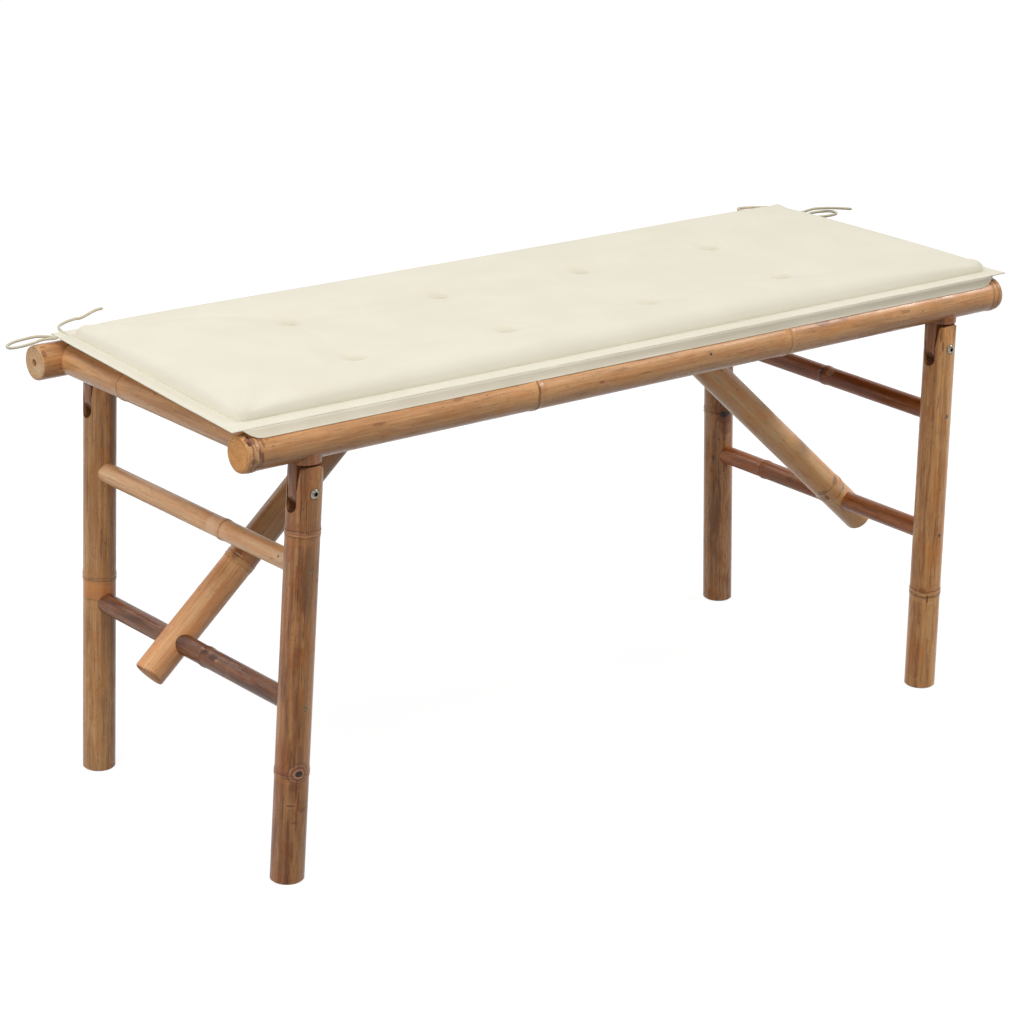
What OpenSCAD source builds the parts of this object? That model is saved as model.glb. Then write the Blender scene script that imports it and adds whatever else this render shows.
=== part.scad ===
// Folding bamboo garden bench with a thin seat cushion.
// Millimetres. X runs along the bench, Y from front to back and Z up. The feet stand on z = 0.

/* [Seat frame] */
// Length of the front and back rails
rail_l = 1000; // [900:10:1300]
// Diameter of the front and back rails
rail_d = 36; // [34:1:40]
// Distance between the axes of the front and back rails
rail_gap = 356; // [330:2:420]
// Height of the top of the rails
seat_h = 467; // [450:1:490]
// Diameter of the side rails
side_rail_d = 30; // [26:1:32]
// Distance from a rail's end to the axis of the side rail
side_rail_in = 36; // [30:1:42]
// Diameter of the corner dowels
dowel_d = 10; // [8:1:12]
// Length of the corner dowels
dowel_l = 40; // [30:1:44]
// Diameter of the pith hole in the ends of the back rail
pith_d = 8; // [4:0.5:8]
// Depth of the pith hole
pith_l = 28; // [10:1:28]

/* [Bamboo] */
// Height of the swelling at a node of the bamboo
ring_h = 0.7; // [0.3:0.1:0.9]
// Length of the swelling at a node of the bamboo
ring_l = 14; // [10:1:16]
// Distance from an end of the front rail to the node beside it
end_ring_in = 9; // [9:0.5:12]
// Rounding of the cut edges at the ends of the poles
end_round = 2; // [0.5:0.5:3]
// Rounding of the feet
foot_round = 1.5; // [0.5:0.5:3]

/* [Seat] */
// Diameter of the hook bars and end bearers under the slats
bar_d = 21; // [18:1:22]
// How far the bars lie below the rail axes
bar_drop = 9; // [8:0.5:10]
// Distance from a rail's end to the axis of the end bearer
bearer_in = 120; // [112:1:150]
// Diameter of the tenons on the bars
tenon_d = 12; // [10:1:12]
// Width of a slat
slat_w = 44; // [36:1:48]
// Thickness of a slat at its crown
slat_t = 15; // [12:0.5:15.5]
// Radius of a slat's round upper side
slat_r = 26; // [25:1:40]
// Distance between the middles of two slats
slat_pitch = 62; // [56:1:64]

/* [Legs] */
// Diameter of the legs
leg_d = 34; // [32:1:36]
// Distance from a rail's end to the hinge bolt
pivot_in = 76; // [70:1:84]
// Depth of the hinge bolt below the rail axis
pivot_drop = 48; // [46:1:54]
// How far a foot stands outside its hinge bolt along the bench
leg_splay = 13; // [6:1:20]
// How far a foot stands inside its hinge bolt across the bench
leg_lean = 8; // [0:1:12]
// Diameter of the crossbars between the legs
cross_d = 21; // [18:1:22]
// Height of the upper crossbars
upper_z = 324; // [300:1:340]
// Height of the lower crossbars
lower_z = 184; // [160:1:210]
// Depth of the crossbar sockets in the legs
socket_l = 20; // [14:1:22]

/* [Hinges] */
// Diameter of the hinge posts
post_d = 32; // [26:1:33]
// Width of the slot in the top of a leg
slot_w = 15.5; // [15:0.5:16.5]
// Thickness of the tongue on a hinge post
tongue_t = 13; // [11:0.5:13.5]
// Reach of the tongue round the hinge bolt
tongue_r = 15.5; // [14:0.5:15.5]
// Distance from the hinge bolt down to the tongue's end
tongue_reach = 12.5; // [10:0.5:14]
// Rounding of the corners at the tongue's end
tongue_round = 2.5; // [1:0.5:4]
// Radius of the fork's top about the hinge bolt
prong_r = 27; // [24:0.5:27]
// Width of the fork at its top
prong_w = 24; // [22:1:28]
// Radius of the round corners at the fork's top
prong_round = 6; // [4:0.5:8]
// Tilt of the flat planed off the outside of a fork
flat_tilt = 6; // [3:0.5:8]
// Diameter of the hinge bolts
bolt_d = 6; // [5:0.5:6.5]
// Diameter of the bolt heads
head_d = 10; // [9:0.5:11]
// Height of the bolt heads
head_h = 3; // [2:0.5:4]
// Width of the hexagon socket across its corners
socket_d = 4.6; // [3.5:0.1:5]
// Depth of the flat seats under the bolt heads
spot_l = 1.2; // [1:0.1:2]
// Diameter of a hinge nut
sleeve_d = 8.5; // [8:0.5:9]
// Length of a hinge nut
sleeve_l = 6; // [4:0.5:6.5]

/* [Braces] */
// Diameter of the braces
brace_d = 33; // [30:1:35]
// Distance of each brace from the middle of the bench's width
brace_y = 31; // [24:1:50]
// Slope of the braces
brace_angle = 41.7; // [40:0.1:44]
// Length of the brace below its crossbar
brace_tail = 45; // [30:1:60]
// Length of the brace past the hook bar
brace_tip = 21; // [18:0.5:22]
// How far the hook bar's axis lies above the brace's axis
hook_offset = 8; // [6:0.5:10]
// Lean of the notch's lower wall, which lets the bar out as the bench folds
hook_lean = 35; // [32:1:40]

/* [Fasteners] */
// Diameter of the screws that hold the hinge posts
screw_d = 4; // [3:0.5:5]
// Length of the screws that hold the hinge posts
screw_l = 50; // [40:1:52]
// Diameter of the screw heads
screw_head_d = 8; // [7:0.5:9]
// Diameter of the nails
nail_d = 2.4; // [2:0.1:3]
// Diameter of the nail heads
nail_head_d = 5; // [4:0.1:6]
// Thickness of the nail heads
nail_head_h = 0.8; // [0.5:0.1:1]
// Length of the nails through the slats
slat_nail_l = 30; // [22:1:32]
// Length of the nails through the legs
leg_nail_l = 34; // [28:1:40]

/* [Clearances] */
// Gap round glued and nailed joints
joint_gap = 0.1; // [0.05:0.05:0.2]
// Radial gap round the turning bolts and crossbars
turn_gap = 0.08; // [0.04:0.01:0.1]
// Gap between the hook bar and the notch in the brace
hook_gap = 0.6; // [0.5:0.1:1]
// Gap between the cushion and what it lies on
rest_gap = 0.3; // [0.2:0.1:0.5]
// Gap between the brace's tip and the slats
tip_gap = 1; // [0.5:0.1:2]

/* [Cushion] */
// How far the cushion's flange reaches past the ends of the rails
cushion_over_x = 4; // [-10:0.5:10]
// How far the cushion's flange reaches past the axes of the rails
cushion_over_y = 5.5; // [0:0.5:8]
// How far the cushion lies forward of the middle
cushion_shift = 4; // [0:0.5:6]
// Width of the flange all round
flange_w = 20; // [12:1:26]
// Thickness of the flange
flange_t = 1.6; // [1.2:0.1:2.5]
// Height of the flange above the cushion's underside
flange_rise = 5; // [4:0.5:8]
// Thickness of the cushion's stuffed body at its edge shoulder
body_t = 25; // [20:1:30]
// Extra height at the middle of the cushion
crown = 3; // [1:0.5:6]
// How far the long sides are drawn in at the middle
side_draw = 2; // [0:0.5:4]
// Radius of the cushion's rounded upper edge
shoulder_r = 20; // [14:1:26]
// Radius of the cushion's rounded lower edge
underside_r = 12; // [8:1:16]
// How much lower the seam's edge holds the stuffing than the full thickness
edge_pinch = 4; // [0:0.5:8]
// Depth of the tufts
tuft_h = 8; // [4:0.5:12]
// Radius of the dimple round a tuft
tuft_r = 34; // [24:1:44]
// Distance between tufts along the cushion
tuft_dx = 188; // [170:1:200]
// Distance between the two rows of tufts
tuft_dy = 134; // [120:1:140]
// Angle from the top of the front rail at which the fabric strip on it ends
strip_turn = 42; // [34:1:46]
// Thickness of the fabric strip
strip_t = 1.4; // [1:0.1:2]
// Length over which the strip fades out at each end
strip_fade = 14; // [8:1:30]

/* [Ties] */
// Diameter of the tie cords
tie_d = 3; // [2:0.5:3.5]

/* [Hidden] */
$fn = 48;

// A side is -1 at the left or the front and 1 at the right or the back.
left = -1;
right = 1;
front = -1;
back = 1;

rail_y = rail_gap / 2;
rail_z = seat_h - rail_d / 2;
side_rail_x = rail_l / 2 - side_rail_in;
pivot_x = rail_l / 2 - pivot_in;
pivot_z = rail_z - pivot_drop;
bar_z = rail_z - bar_drop;
bearer_x = rail_l / 2 - bearer_in;
slat_z = bar_z + bar_d / 2 + joint_gap;
slat_end = side_rail_x - side_rail_d / 2 - ring_h - 3 * joint_gap;
slat_count = 5;
function slat_y(k) = (k - (slat_count - 1) / 2) * slat_pitch;

// The shoulder of a hinge post is a little above the fork, which turns under it.
shoulder_z = pivot_z + prong_r + 1.5;
// The slot in a leg ends in a round bottom whose axis is this far below the bolt.
slot_drop = tongue_r - tongue_t / 2 + slot_w / 2 - 4.8;
// The planed flats start this far outside the legs, level with the bolts.
flat_out = 0.3;
// The round corners at the fork's top have their centres this far above the bolt.
prong_rise = sqrt(pow(prong_r - prong_round, 2) - pow(prong_w / 2 - prong_round, 2));

// The leg stands on a line from its foot to its hinge bolt.
function leg_x(z) = pivot_x + leg_splay * (pivot_z - z) / pivot_z;
function leg_y(z) = rail_y - leg_lean * (pivot_z - z) / pivot_z;
function on_leg(sx, sy, z) = [sx * leg_x(z), sy * leg_y(z), z];

// The hook bar sits where the brace reaches the height of the bars.
brace_x = leg_x(lower_z);
hook_s = (bar_z - lower_z - hook_offset * cos(brace_angle)) / sin(brace_angle);
hook_x = brace_x - hook_s * cos(brace_angle) + hook_offset * sin(brace_angle);
bar_xs = [-bearer_x, -hook_x, hook_x, bearer_x];

// Where the nodes of the long rails lie.
front_rings = [end_ring_in - rail_l / 2, -154, 184, rail_l / 2 - end_ring_in];
back_rings = [-310, 40, 380];

bamboo = [0.72, 0.53, 0.36];
bamboo_dark = [0.50, 0.34, 0.24];
steel = [0.75, 0.74, 0.70];
cream = [0.93, 0.90, 0.82];

// Half of a culm's outline from z = 0 to z = len, with a swelling at each of the given heights.
function ring_profile(r, z) = [
    [r, z - ring_l / 2],
    [r + 0.5 * ring_h, z - ring_l / 4],
    [r + ring_h, z - ring_l / 9],
    [r + 0.4 * ring_h, z - ring_l / 30],
    [r + 0.4 * ring_h, z + ring_l / 30],
    [r + ring_h, z + ring_l / 9],
    [r + 0.5 * ring_h, z + ring_l / 4],
    [r, z + ring_l / 2]
];

// The rounding at its ends is limited by the nodes beside them.
module culm(len, d, rings) {
    r = d / 2;
    e = min(concat([end_round], [for (z = rings) min(z, len - z) - ring_l / 2]));
    outline = [for (z = rings) for (p = ring_profile(r, z)) p];
    rotate_extrude()
        polygon(concat(
            [[0, 0], [r - e, 0], [r - 0.3 * e, 0.3 * e], [r, e]],
            outline,
            [[r, len - e], [r - 0.3 * e, len - 0.3 * e], [r - e, len], [0, len]]
        ));
}

// Turns a child that stands on +Z so that it runs from point a towards point b.
module along(a, b) {
    v = b - a;
    translate(a)
        rotate([0, atan2(v[0], v[2]), 0])
            rotate([-asin(v[1] / norm(v)), 0, 0])
                children();
}

// A cylinder whose axis runs along Y from y0 to y1.
module rod_y(x, y0, y1, z, r) {
    translate([x, min(y0, y1), z])
        rotate([-90, 0, 0])
            cylinder(r = r, h = abs(y1 - y0));
}

module long_rail_bore(sy, grow) {
    translate([-rail_l, sy * rail_y, rail_z])
        rotate([0, 90, 0])
            cylinder(r = rail_d / 2 + grow, h = 2 * rail_l);
}

module long_rail(sy, rings, pith) {
    color(bamboo)
        difference() {
            translate([-rail_l / 2, sy * rail_y, rail_z])
                rotate([0, 90, 0])
                    culm(rail_l, rail_d, [for (x = rings) x + rail_l / 2]);
            for (x = bar_xs)
                rod_y(x, sy * (rail_y - rail_d), sy * (rail_y + joint_gap), bar_z, tenon_d / 2 + joint_gap);
            for (sx = [left, right]) {
                corner_dowel(sx, sy, joint_gap);
                post_screw(sx, sy, joint_gap);
                if (pith)
                    translate([sx * rail_l / 2, sy * rail_y, rail_z])
                        rotate([0, -90 * sx, 0])
                            translate([0, 0, -1])
                                cylinder(d = pith_d, h = pith_l + 1);
            }
        }
}

module side_rail(sx, rings) {
    color(bamboo)
        difference() {
            translate([sx * side_rail_x, -rail_y, rail_z])
                rotate([-90, 0, 0])
                    culm(rail_gap, side_rail_d, [for (y = rings) y + rail_y]);
            for (sy = [front, back]) {
                long_rail_bore(sy, joint_gap);
                corner_dowel(sx, sy, joint_gap);
            }
        }
}

module corner_dowel(sx, sy, grow) {
    middle = rail_y - rail_d / 2;
    half = dowel_l / 2 + grow;
    rod_y(sx * side_rail_x, sy * (middle - half), sy * (middle + half), rail_z, dowel_d / 2 + grow);
}

module corner_dowels() {
    color(bamboo_dark)
        for (sx = [left, right])
            for (sy = [front, back])
                corner_dowel(sx, sy, 0);
}

// A bar across the seat frame, coped to the rails, with a tenon into each.
module seat_bar(x) {
    color(bamboo)
        difference() {
            union() {
                difference() {
                    rod_y(x, joint_gap - rail_y + tenon_d, rail_y - tenon_d - joint_gap, bar_z, bar_d / 2);
                    for (sy = [front, back])
                        long_rail_bore(sy, ring_h + joint_gap);
                }
                rod_y(x, -rail_y, rail_y, bar_z, tenon_d / 2);
            }
            for (k = [0:slat_count - 1])
                slat_nail(x, slat_y(k), joint_gap / 2);
        }
}

module slat(k) {
    color(bamboo)
        difference() {
            translate([-slat_end, slat_y(k), slat_z])
                rotate([90, 0, 90])
                    linear_extrude(2 * slat_end)
                        intersection() {
                            translate([0, slat_t - slat_r])
                                circle(r = slat_r, $fn = 96);
                            translate([-slat_w / 2, 0])
                                square([slat_w, slat_t + 1]);
                        }
            for (x = bar_xs)
                slat_nail(x, slat_y(k), joint_gap / 2);
        }
}

module nail(len, grow) {
    translate([0, 0, -len - grow])
        cylinder(r = nail_d / 2 + grow, h = len + grow);
    translate([0, 0, -nail_head_h - grow])
        cylinder(r = nail_head_d / 2 + grow, h = nail_head_h + 2 * grow + (grow > 0 ? 2 : 0));
}

// The head's top is sunk just below the slat's crown.
module slat_nail(x, y, grow) {
    translate([x, y, slat_z + slat_t - nail_head_h / 2])
        nail(slat_nail_l, grow);
}

module slat_nails() {
    color(steel)
        for (x = bar_xs)
            for (k = [0:slat_count - 1])
                slat_nail(x, slat_y(k), 0);
}

// A nail from the outer face of a leg into the end of a crossbar.
module leg_nail(sx, sy, z, grow) {
    translate([sx * leg_x(z), sy * (leg_y(z) + leg_d / 2 - nail_head_h / 2), z])
        rotate([-90 * sy, 0, 0])
            nail(leg_nail_l, grow);
}

module crossbar_nails(sx) {
    color(steel)
        for (sy = [front, back])
            for (z = [lower_z, upper_z])
                leg_nail(sx, sy, z, 0);
}

// A countersunk screw from the top of the rail down into the hinge post.
module post_screw(sx, sy, grow) {
    head_l = (screw_head_d - screw_d) / 2;
    translate([sx * pivot_x, sy * rail_y, seat_h - 1]) {
        translate([0, 0, -screw_l - grow])
            cylinder(r = screw_d / 2 + grow, h = screw_l);
        translate([0, 0, -head_l - grow])
            cylinder(r1 = screw_d / 2 + grow, r2 = screw_head_d / 2 + grow, h = head_l + grow);
        if (grow > 0)
            cylinder(r = screw_head_d / 2 + grow, h = rail_d);
    }
}

module post_screws() {
    color(steel)
        for (sx = [left, right])
            for (sy = [front, back])
                post_screw(sx, sy, 0);
}

// The side view of the tongue is rounded about the bolt.
module tongue_side() {
    circle(r = tongue_r, $fn = 96);
    translate([-tongue_r, 0])
        square([2 * tongue_r, prong_r + 2]);
}

// The edge view of the tongue has round corners at its lower end.
module tongue_edge() {
    flat = tongue_t / 2 - tongue_round;
    for (s = [-1, 1])
        translate([s * flat, tongue_round - tongue_reach])
            circle(r = tongue_round);
    translate([-flat, -tongue_reach])
        square([2 * flat, tongue_reach]);
    translate([-tongue_t / 2, tongue_round - tongue_reach])
        square([tongue_t, tongue_reach + prong_r]);
}

module hinge_post(sx, sy) {
    color(bamboo)
        difference() {
            union() {
                translate([sx * pivot_x, sy * rail_y, shoulder_z])
                    cylinder(d = post_d, h = rail_z - shoulder_z);
                translate([sx * pivot_x, sy * rail_y, pivot_z])
                    intersection() {
                        translate([0, 0, -tongue_r])
                            cylinder(d = post_d, h = tongue_r + prong_r + 2);
                        rotate([90, 0, 0])
                            linear_extrude(leg_d, center = true)
                                tongue_side();
                        rotate([90, 0, 90])
                            linear_extrude(leg_d, center = true)
                                tongue_edge();
                    }
            }
            long_rail_bore(sy, joint_gap);
            post_screw(sx, sy, joint_gap);
            rod_y(sx * pivot_x, sy * (rail_y - leg_d), sy * (rail_y + leg_d), pivot_z, bolt_d / 2 + turn_gap);
        }
}

// The fork narrows from the bottom of its slot to a top with round corners.
module fork_side() {
    half = prong_w / 2;
    flat = half - prong_round;
    wide = leg_d / 2 + 1.5;
    low = -slot_drop - slot_w / 2;
    polygon([[-wide, low], [wide, low], [half, prong_rise], [-half, prong_rise]]);
    translate([-flat, 0])
        square([2 * flat, prong_rise + prong_round]);
    for (s = [-1, 1])
        translate([s * flat, prong_rise])
            circle(r = prong_round);
}

// A flat planed off the outside of the fork, from the hinge bolt up.
module planed_flat(sx, sy) {
    translate([sx * pivot_x, sy * (rail_y + leg_d / 2 + flat_out), pivot_z])
        rotate([sy * flat_tilt, 0, 0])
            translate([-leg_d, (sy - 1) / 2 * leg_d, 0])
                cube([2 * leg_d, leg_d, 2 * prong_r]);
}

// What a leg keeps: its fork, all below the slot, and a foot with a round edge.
module leg_limits(sx, sy) {
    translate([sx * pivot_x, sy * rail_y, pivot_z])
        rotate([90, 0, 0])
            linear_extrude(2 * leg_d, center = true)
                fork_side();
    translate([sx * leg_x(pivot_z / 2) - 2 * leg_d, sy * rail_y - 2 * leg_d, 2 * foot_round])
        cube([4 * leg_d, 4 * leg_d, pivot_z - slot_drop - slot_w / 2 - 2 * foot_round + 1]);
    translate(on_leg(sx, sy, 0))
        cylinder(r1 = leg_d / 2 - foot_round, r2 = leg_d / 2 + 2 * foot_round, h = 3 * foot_round);
}

module leg(sx, sy, rings) {
    foot = on_leg(sx, sy, 0);
    pivot = on_leg(sx, sy, pivot_z);
    spare = leg_d;
    below = foot + (foot - pivot) * spare / norm(pivot - foot);
    color(bamboo)
        difference() {
            intersection() {
                along(below, pivot)
                    culm(norm(pivot - foot) + 2 * spare, leg_d, [for (z = rings) z + spare]);
                leg_limits(sx, sy);
            }
            translate([pivot[0] - leg_d, pivot[1] - slot_w / 2, pivot_z - slot_drop])
                cube([2 * leg_d, slot_w, slot_drop + 2 * prong_r]);
            translate([pivot[0] - leg_d, pivot[1], pivot_z - slot_drop])
                rotate([0, 90, 0])
                    cylinder(d = slot_w, h = 2 * leg_d);
            planed_flat(sx, sy);
            hinge_bolt(sx, sy, turn_gap);
            hinge_nut(sx, sy, turn_gap);
            for (z = [lower_z, upper_z]) {
                crossbar_blank(sx, z, joint_gap);
                leg_nail(sx, sy, z, joint_gap / 2);
            }
        }
}

// The flat under the bolt head outside a leg, and the end of the bolt inside it.
spot_y = leg_d / 2 - spot_l;
bolt_in = slot_w / 2 + sleeve_l - 0.5;

// The domed head is outside the leg. With grow it is the hole and the flat seat.
module hinge_bolt(sx, sy, grow) {
    translate([sx * pivot_x, sy * rail_y, pivot_z])
        rotate([-90 * sy, 0, 0]) {
            translate([0, 0, -bolt_in - grow])
                cylinder(r = bolt_d / 2 + grow, h = bolt_in + spot_y + grow);
            if (grow > 0)
                translate([0, 0, spot_y])
                    cylinder(r = head_d / 2 + 0.5, h = leg_d);
            else
                translate([0, 0, spot_y])
                    domed_head();
        }
}

module domed_head() {
    edge_h = head_h / 3;
    dome_r = (pow(head_d / 2, 2) + pow(head_h - edge_h, 2)) / (2 * (head_h - edge_h));
    difference() {
        intersection() {
            cylinder(d = head_d, h = head_h);
            translate([0, 0, head_h - dome_r])
                sphere(r = dome_r, $fn = 96);
        }
        translate([0, 0, head_h / 3])
            cylinder(d = socket_d, h = head_h, $fn = 6);
    }
}

// The nut is a sleeve in the fork's inner prong, put in from the slot, so that it doesn't show.
module hinge_nut(sx, sy, grow) {
    translate([sx * pivot_x, sy * rail_y, pivot_z])
        rotate([90 * sy, 0, 0])
            translate([0, 0, slot_w / 2])
                if (grow > 0)
                    translate([0, 0, -1])
                        cylinder(r = sleeve_d / 2 + grow, h = sleeve_l + 1 + grow);
                else
                    difference() {
                        cylinder(d = sleeve_d, h = sleeve_l);
                        translate([0, 0, -1])
                            cylinder(r = bolt_d / 2 + turn_gap, h = sleeve_l + 2);
                    }
}

module hinge_bolts(sx) {
    color(steel)
        for (sy = [front, back])
            hinge_bolt(sx, sy, 0);
}

module hinge_nuts(sx) {
    color(steel)
        for (sy = [front, back])
            hinge_nut(sx, sy, 0);
}

function cross_end(z) = leg_y(z) - leg_d / 2 + socket_l;

module crossbar_blank(sx, z, grow) {
    end = cross_end(z) + grow;
    rod_y(sx * leg_x(z), -end, end, z, cross_d / 2 + grow);
}

module crossbar(sx, z, rings, tint) {
    end = cross_end(z);
    color(tint)
        difference() {
            translate([sx * leg_x(z), -end, z])
                rotate([-90, 0, 0])
                    culm(2 * end, cross_d, [for (y = rings) y + end]);
            for (sy = [front, back])
                leg_nail(sx, sy, z, joint_gap / 2);
        }
}

// The notch in profile: x is the distance above the brace's axis, y the distance along it.
module hook_notch() {
    r = bar_d / 2 + hook_gap;
    out = brace_d;
    start = [hook_offset - r * sin(hook_lean), hook_s - r * cos(hook_lean)];
    wall = (out - start[0]) / cos(hook_lean);
    translate([hook_offset, hook_s])
        circle(r = r, $fn = 96);
    polygon([
        [hook_offset, hook_s],
        [hook_offset, hook_s + r],
        [out, hook_s + r],
        [out, start[1] - wall * sin(hook_lean)],
        start
    ]);
}

// The brace turns on its crossbar and catches on the hook bar. Its tip is cut off level
// under the slats.
module brace(sx, rings) {
    y = -sx * brace_y;
    color(bamboo)
        difference() {
            translate([sx * brace_x, y, lower_z])
                rotate([0, sx * (brace_angle - 90), 0])
                    difference() {
                        translate([0, 0, -brace_tail])
                            culm(brace_tail + hook_s + brace_tip, brace_d, [for (s = rings) s + brace_tail]);
                        rod_y(0, -brace_d, brace_d, 0, cross_d / 2 + turn_gap);
                        scale([sx, 1, 1])
                            rotate([90, 0, 0])
                                linear_extrude(2 * brace_d, center = true)
                                    hook_notch();
                    }
            translate([-rail_l / 2, y - brace_d, slat_z - joint_gap - tip_gap])
                cube([rail_l, 2 * brace_d, rail_d]);
        }
}

// The cushion is a grid of points over its outline, with a top and an underside at each.
// Stations along X and Y: flange edge, seam, two on the rounded side, and five round each tuft.
under_z = seat_h + ring_h + rest_gap;
flange_z = under_z + flange_rise;
half_l = rail_l / 2 + cushion_over_x;
half_w = rail_y + cushion_over_y;
edge_steps = [0, flange_w, flange_w + 5, flange_w + 18];
tuft_steps = [-30, -12, 0, 12, 30];
tuft_xs = [for (k = [-1.5, -0.5, 0.5, 1.5]) k * tuft_dx];
tuft_ys = [-tuft_dy / 2, tuft_dy / 2];
edge_xs = [for (s = edge_steps) s - half_l];
edge_ys = [for (s = edge_steps) s - half_w];
grid_x = concat(
    edge_xs,
    [for (t = tuft_xs) for (s = tuft_steps) t + s],
    [for (k = [3:-1:0]) -edge_xs[k]]
);
grid_y = concat(
    edge_ys,
    [for (t = tuft_ys) for (s = tuft_steps) t + s],
    [for (k = [3:-1:0]) -edge_ys[k]]
);

// How far a point lies inside the seam, and the share of the full thickness there.
function inside(x, y) = min(half_l - abs(x), half_w - abs(y)) - flange_w;
function round_up(d, r) = sqrt(1 - pow(1 - max(0, min(d / r, 1)), 2));
function tuft_dip(x, y) = max([
    for (tx = tuft_xs) for (ty = tuft_ys) pow(max(0, 1 - norm([x - tx, y - ty]) / tuft_r), 2)
]);
function crown_at(x, y) = crown * (1 - pow(x / half_l, 4)) * (1 - pow(y / half_w, 2));
function top_z(x, y) =
    flange_z + flange_t / 2
        + round_up(inside(x, y), shoulder_r) * (body_t - flange_rise - flange_t / 2 - edge_pinch + crown_at(x, y))
        - tuft_h * tuft_dip(x, y);
function bottom_z(x, y) =
    flange_z - flange_t / 2 - (flange_rise - flange_t / 2) * round_up(inside(x, y), underside_r);
function draw_y(x, y) = y - sign(y) * side_draw * (1 - pow(x / half_l, 2)) * pow(y / half_w, 8);

// The strip hangs from the front flange down to the rail and fades out at both ends.
function strip_share(x) = max(0.12, min(1, (half_l - strip_fade - abs(x)) / strip_fade));
function strip_point(x, side) =
    let (
        y = draw_y(x, -half_w),
        z = flange_z + side * flange_t / 2,
        reach = rail_d / 2 + ring_h + rest_gap + (side > 0 ? strip_t : 0),
        end_y = cushion_shift - rail_y - reach * sin(strip_turn),
        end_z = rail_z + reach * cos(strip_turn)
    )
    [x, y + (end_y - y) * strip_share(x), z + (end_z - z) * strip_share(x)];

function cushion_top() = [
    for (x = grid_x)
        concat([strip_point(x, 1)], [for (y = grid_y) [x, draw_y(x, y), top_z(x, y)]])
];
function cushion_bottom() = [
    for (x = grid_x)
        concat([strip_point(x, -1)], [for (y = grid_y) [x, draw_y(x, y), bottom_z(x, y)]])
];

module seat_cushion() {
    nx = len(grid_x);
    ny = len(grid_y) + 1;
    low = nx * ny;
    points = concat([for (row = cushion_top()) for (p = row) p], [for (row = cushion_bottom()) for (p = row) p]);
    faces = [
        for (i = [0:nx - 2])
            for (j = [0:ny - 2])
                let (a = i * ny + j, b = a + ny)
                for (f = [
                    [a, a + 1, b + 1],
                    [a, b + 1, b],
                    [low + a, low + b + 1, low + a + 1],
                    [low + a, low + b, low + b + 1]
                ]) f
    ];
    sides = concat(
        [for (i = [0:nx - 2]) let (a = i * ny, b = a + ny) each [[a, b, low + b], [a, low + b, low + a]]],
        [for (i = [0:nx - 2]) let (a = i * ny + ny - 1, b = a + ny) each [[a, low + b, b], [a, low + a, low + b]]],
        [for (j = [0:ny - 2]) let (a = j, b = j + 1) each [[a, low + b, b], [a, low + a, low + b]]],
        [for (j = [0:ny - 2]) let (a = (nx - 1) * ny + j, b = a + 1) each [[a, b, low + b], [a, low + b, low + a]]]
    );
    color(cream)
        translate([0, -cushion_shift, 0])
            polyhedron(points = points, faces = concat(faces, sides));
}

// Tie cords run along these points. Each starts and ends in the flange or ends free.
left_loop_route = [
    [-476, 172, 473], [-482, 185, 472], [-492, 190, 472], [-504, 189, 472], [-518, 186, 472],
    [-528, 182, 471], [-530, 177, 470], [-524, 174, 470], [-512, 175, 470], [-498, 179, 470],
    [-488, 180, 471], [-478, 170, 473]
];
left_tail_route = [
    [-464, 172, 473], [-463, 186, 474], [-460, 196, 476], [-452, 197, 479], [-442, 196, 481],
    [-434, 196, 481], [-424, 198, 483], [-414, 200, 485], [-406, 199, 486]
];
right_loop_route = [
    [492, 170, 473], [488, 178, 472], [480, 184, 472], [470, 188, 472], [461, 190, 472],
    [458, 187, 471], [461, 182, 471], [468, 177, 471], [474, 170, 473]
];
right_tail_route = [
    [496, 118, 473], [508, 124, 472], [519, 127, 472], [533, 125, 472], [542, 120, 472],
    [545, 115, 471], [540, 110, 471], [526, 109, 471], [514, 112, 471], [498, 108, 473]
];
right_end_route = [
    [496, 134, 473], [510, 133, 473], [524, 131, 475], [538, 122, 476], [550, 113, 476], [562, 106, 475]
];

// A smooth curve through a route's points, and the tube that follows it.
tie_rings = 16;
tie_sides = 8;
function spline(p, t) =
    let (
        n = len(p) - 1,
        k = min(floor(t * n), n - 1),
        u = t * n - k,
        a = p[max(k - 1, 0)],
        b = p[k],
        c = p[k + 1],
        d = p[min(k + 2, n)]
    )
    b + (c - a) * u / 2 + (2 * a - 5 * b + 4 * c - d) * u * u / 2 + (3 * b - a - 3 * c + d) * u * u * u / 2;
function tie_points(p) = [for (k = [0:tie_rings - 1]) spline(p, k / (tie_rings - 1))];
function tie_aim(p, k) = p[min(k + 1, tie_rings - 1)] - p[max(k - 1, 0)];
function unit(v) = v / norm(v);
function tie_ring(centre, aim) =
    let (side = unit(cross(aim, [0, 0, 1])), up = unit(cross(side, aim)))
    [for (s = [0:tie_sides - 1])
        centre + tie_d / 2 * (cos(360 * s / tie_sides) * side + sin(360 * s / tie_sides) * up)];

module tie(route) {
    line = tie_points(route);
    rings = [for (k = [0:tie_rings - 1]) each tie_ring(line[k], tie_aim(line, k))];
    last = (tie_rings - 1) * tie_sides;
    walls = [
        for (k = [0:tie_rings - 2])
            for (s = [0:tie_sides - 1])
                let (a = k * tie_sides + s, b = k * tie_sides + (s + 1) % tie_sides)
                each [[a, b, b + tie_sides], [a, b + tie_sides, a + tie_sides]]
    ];
    ends = [
        for (s = [1:tie_sides - 2])
            each [[0, s + 1, s], [last, last + s, last + s + 1]]
    ];
    color(cream)
        polyhedron(points = rings, faces = concat(walls, ends));
}

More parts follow.
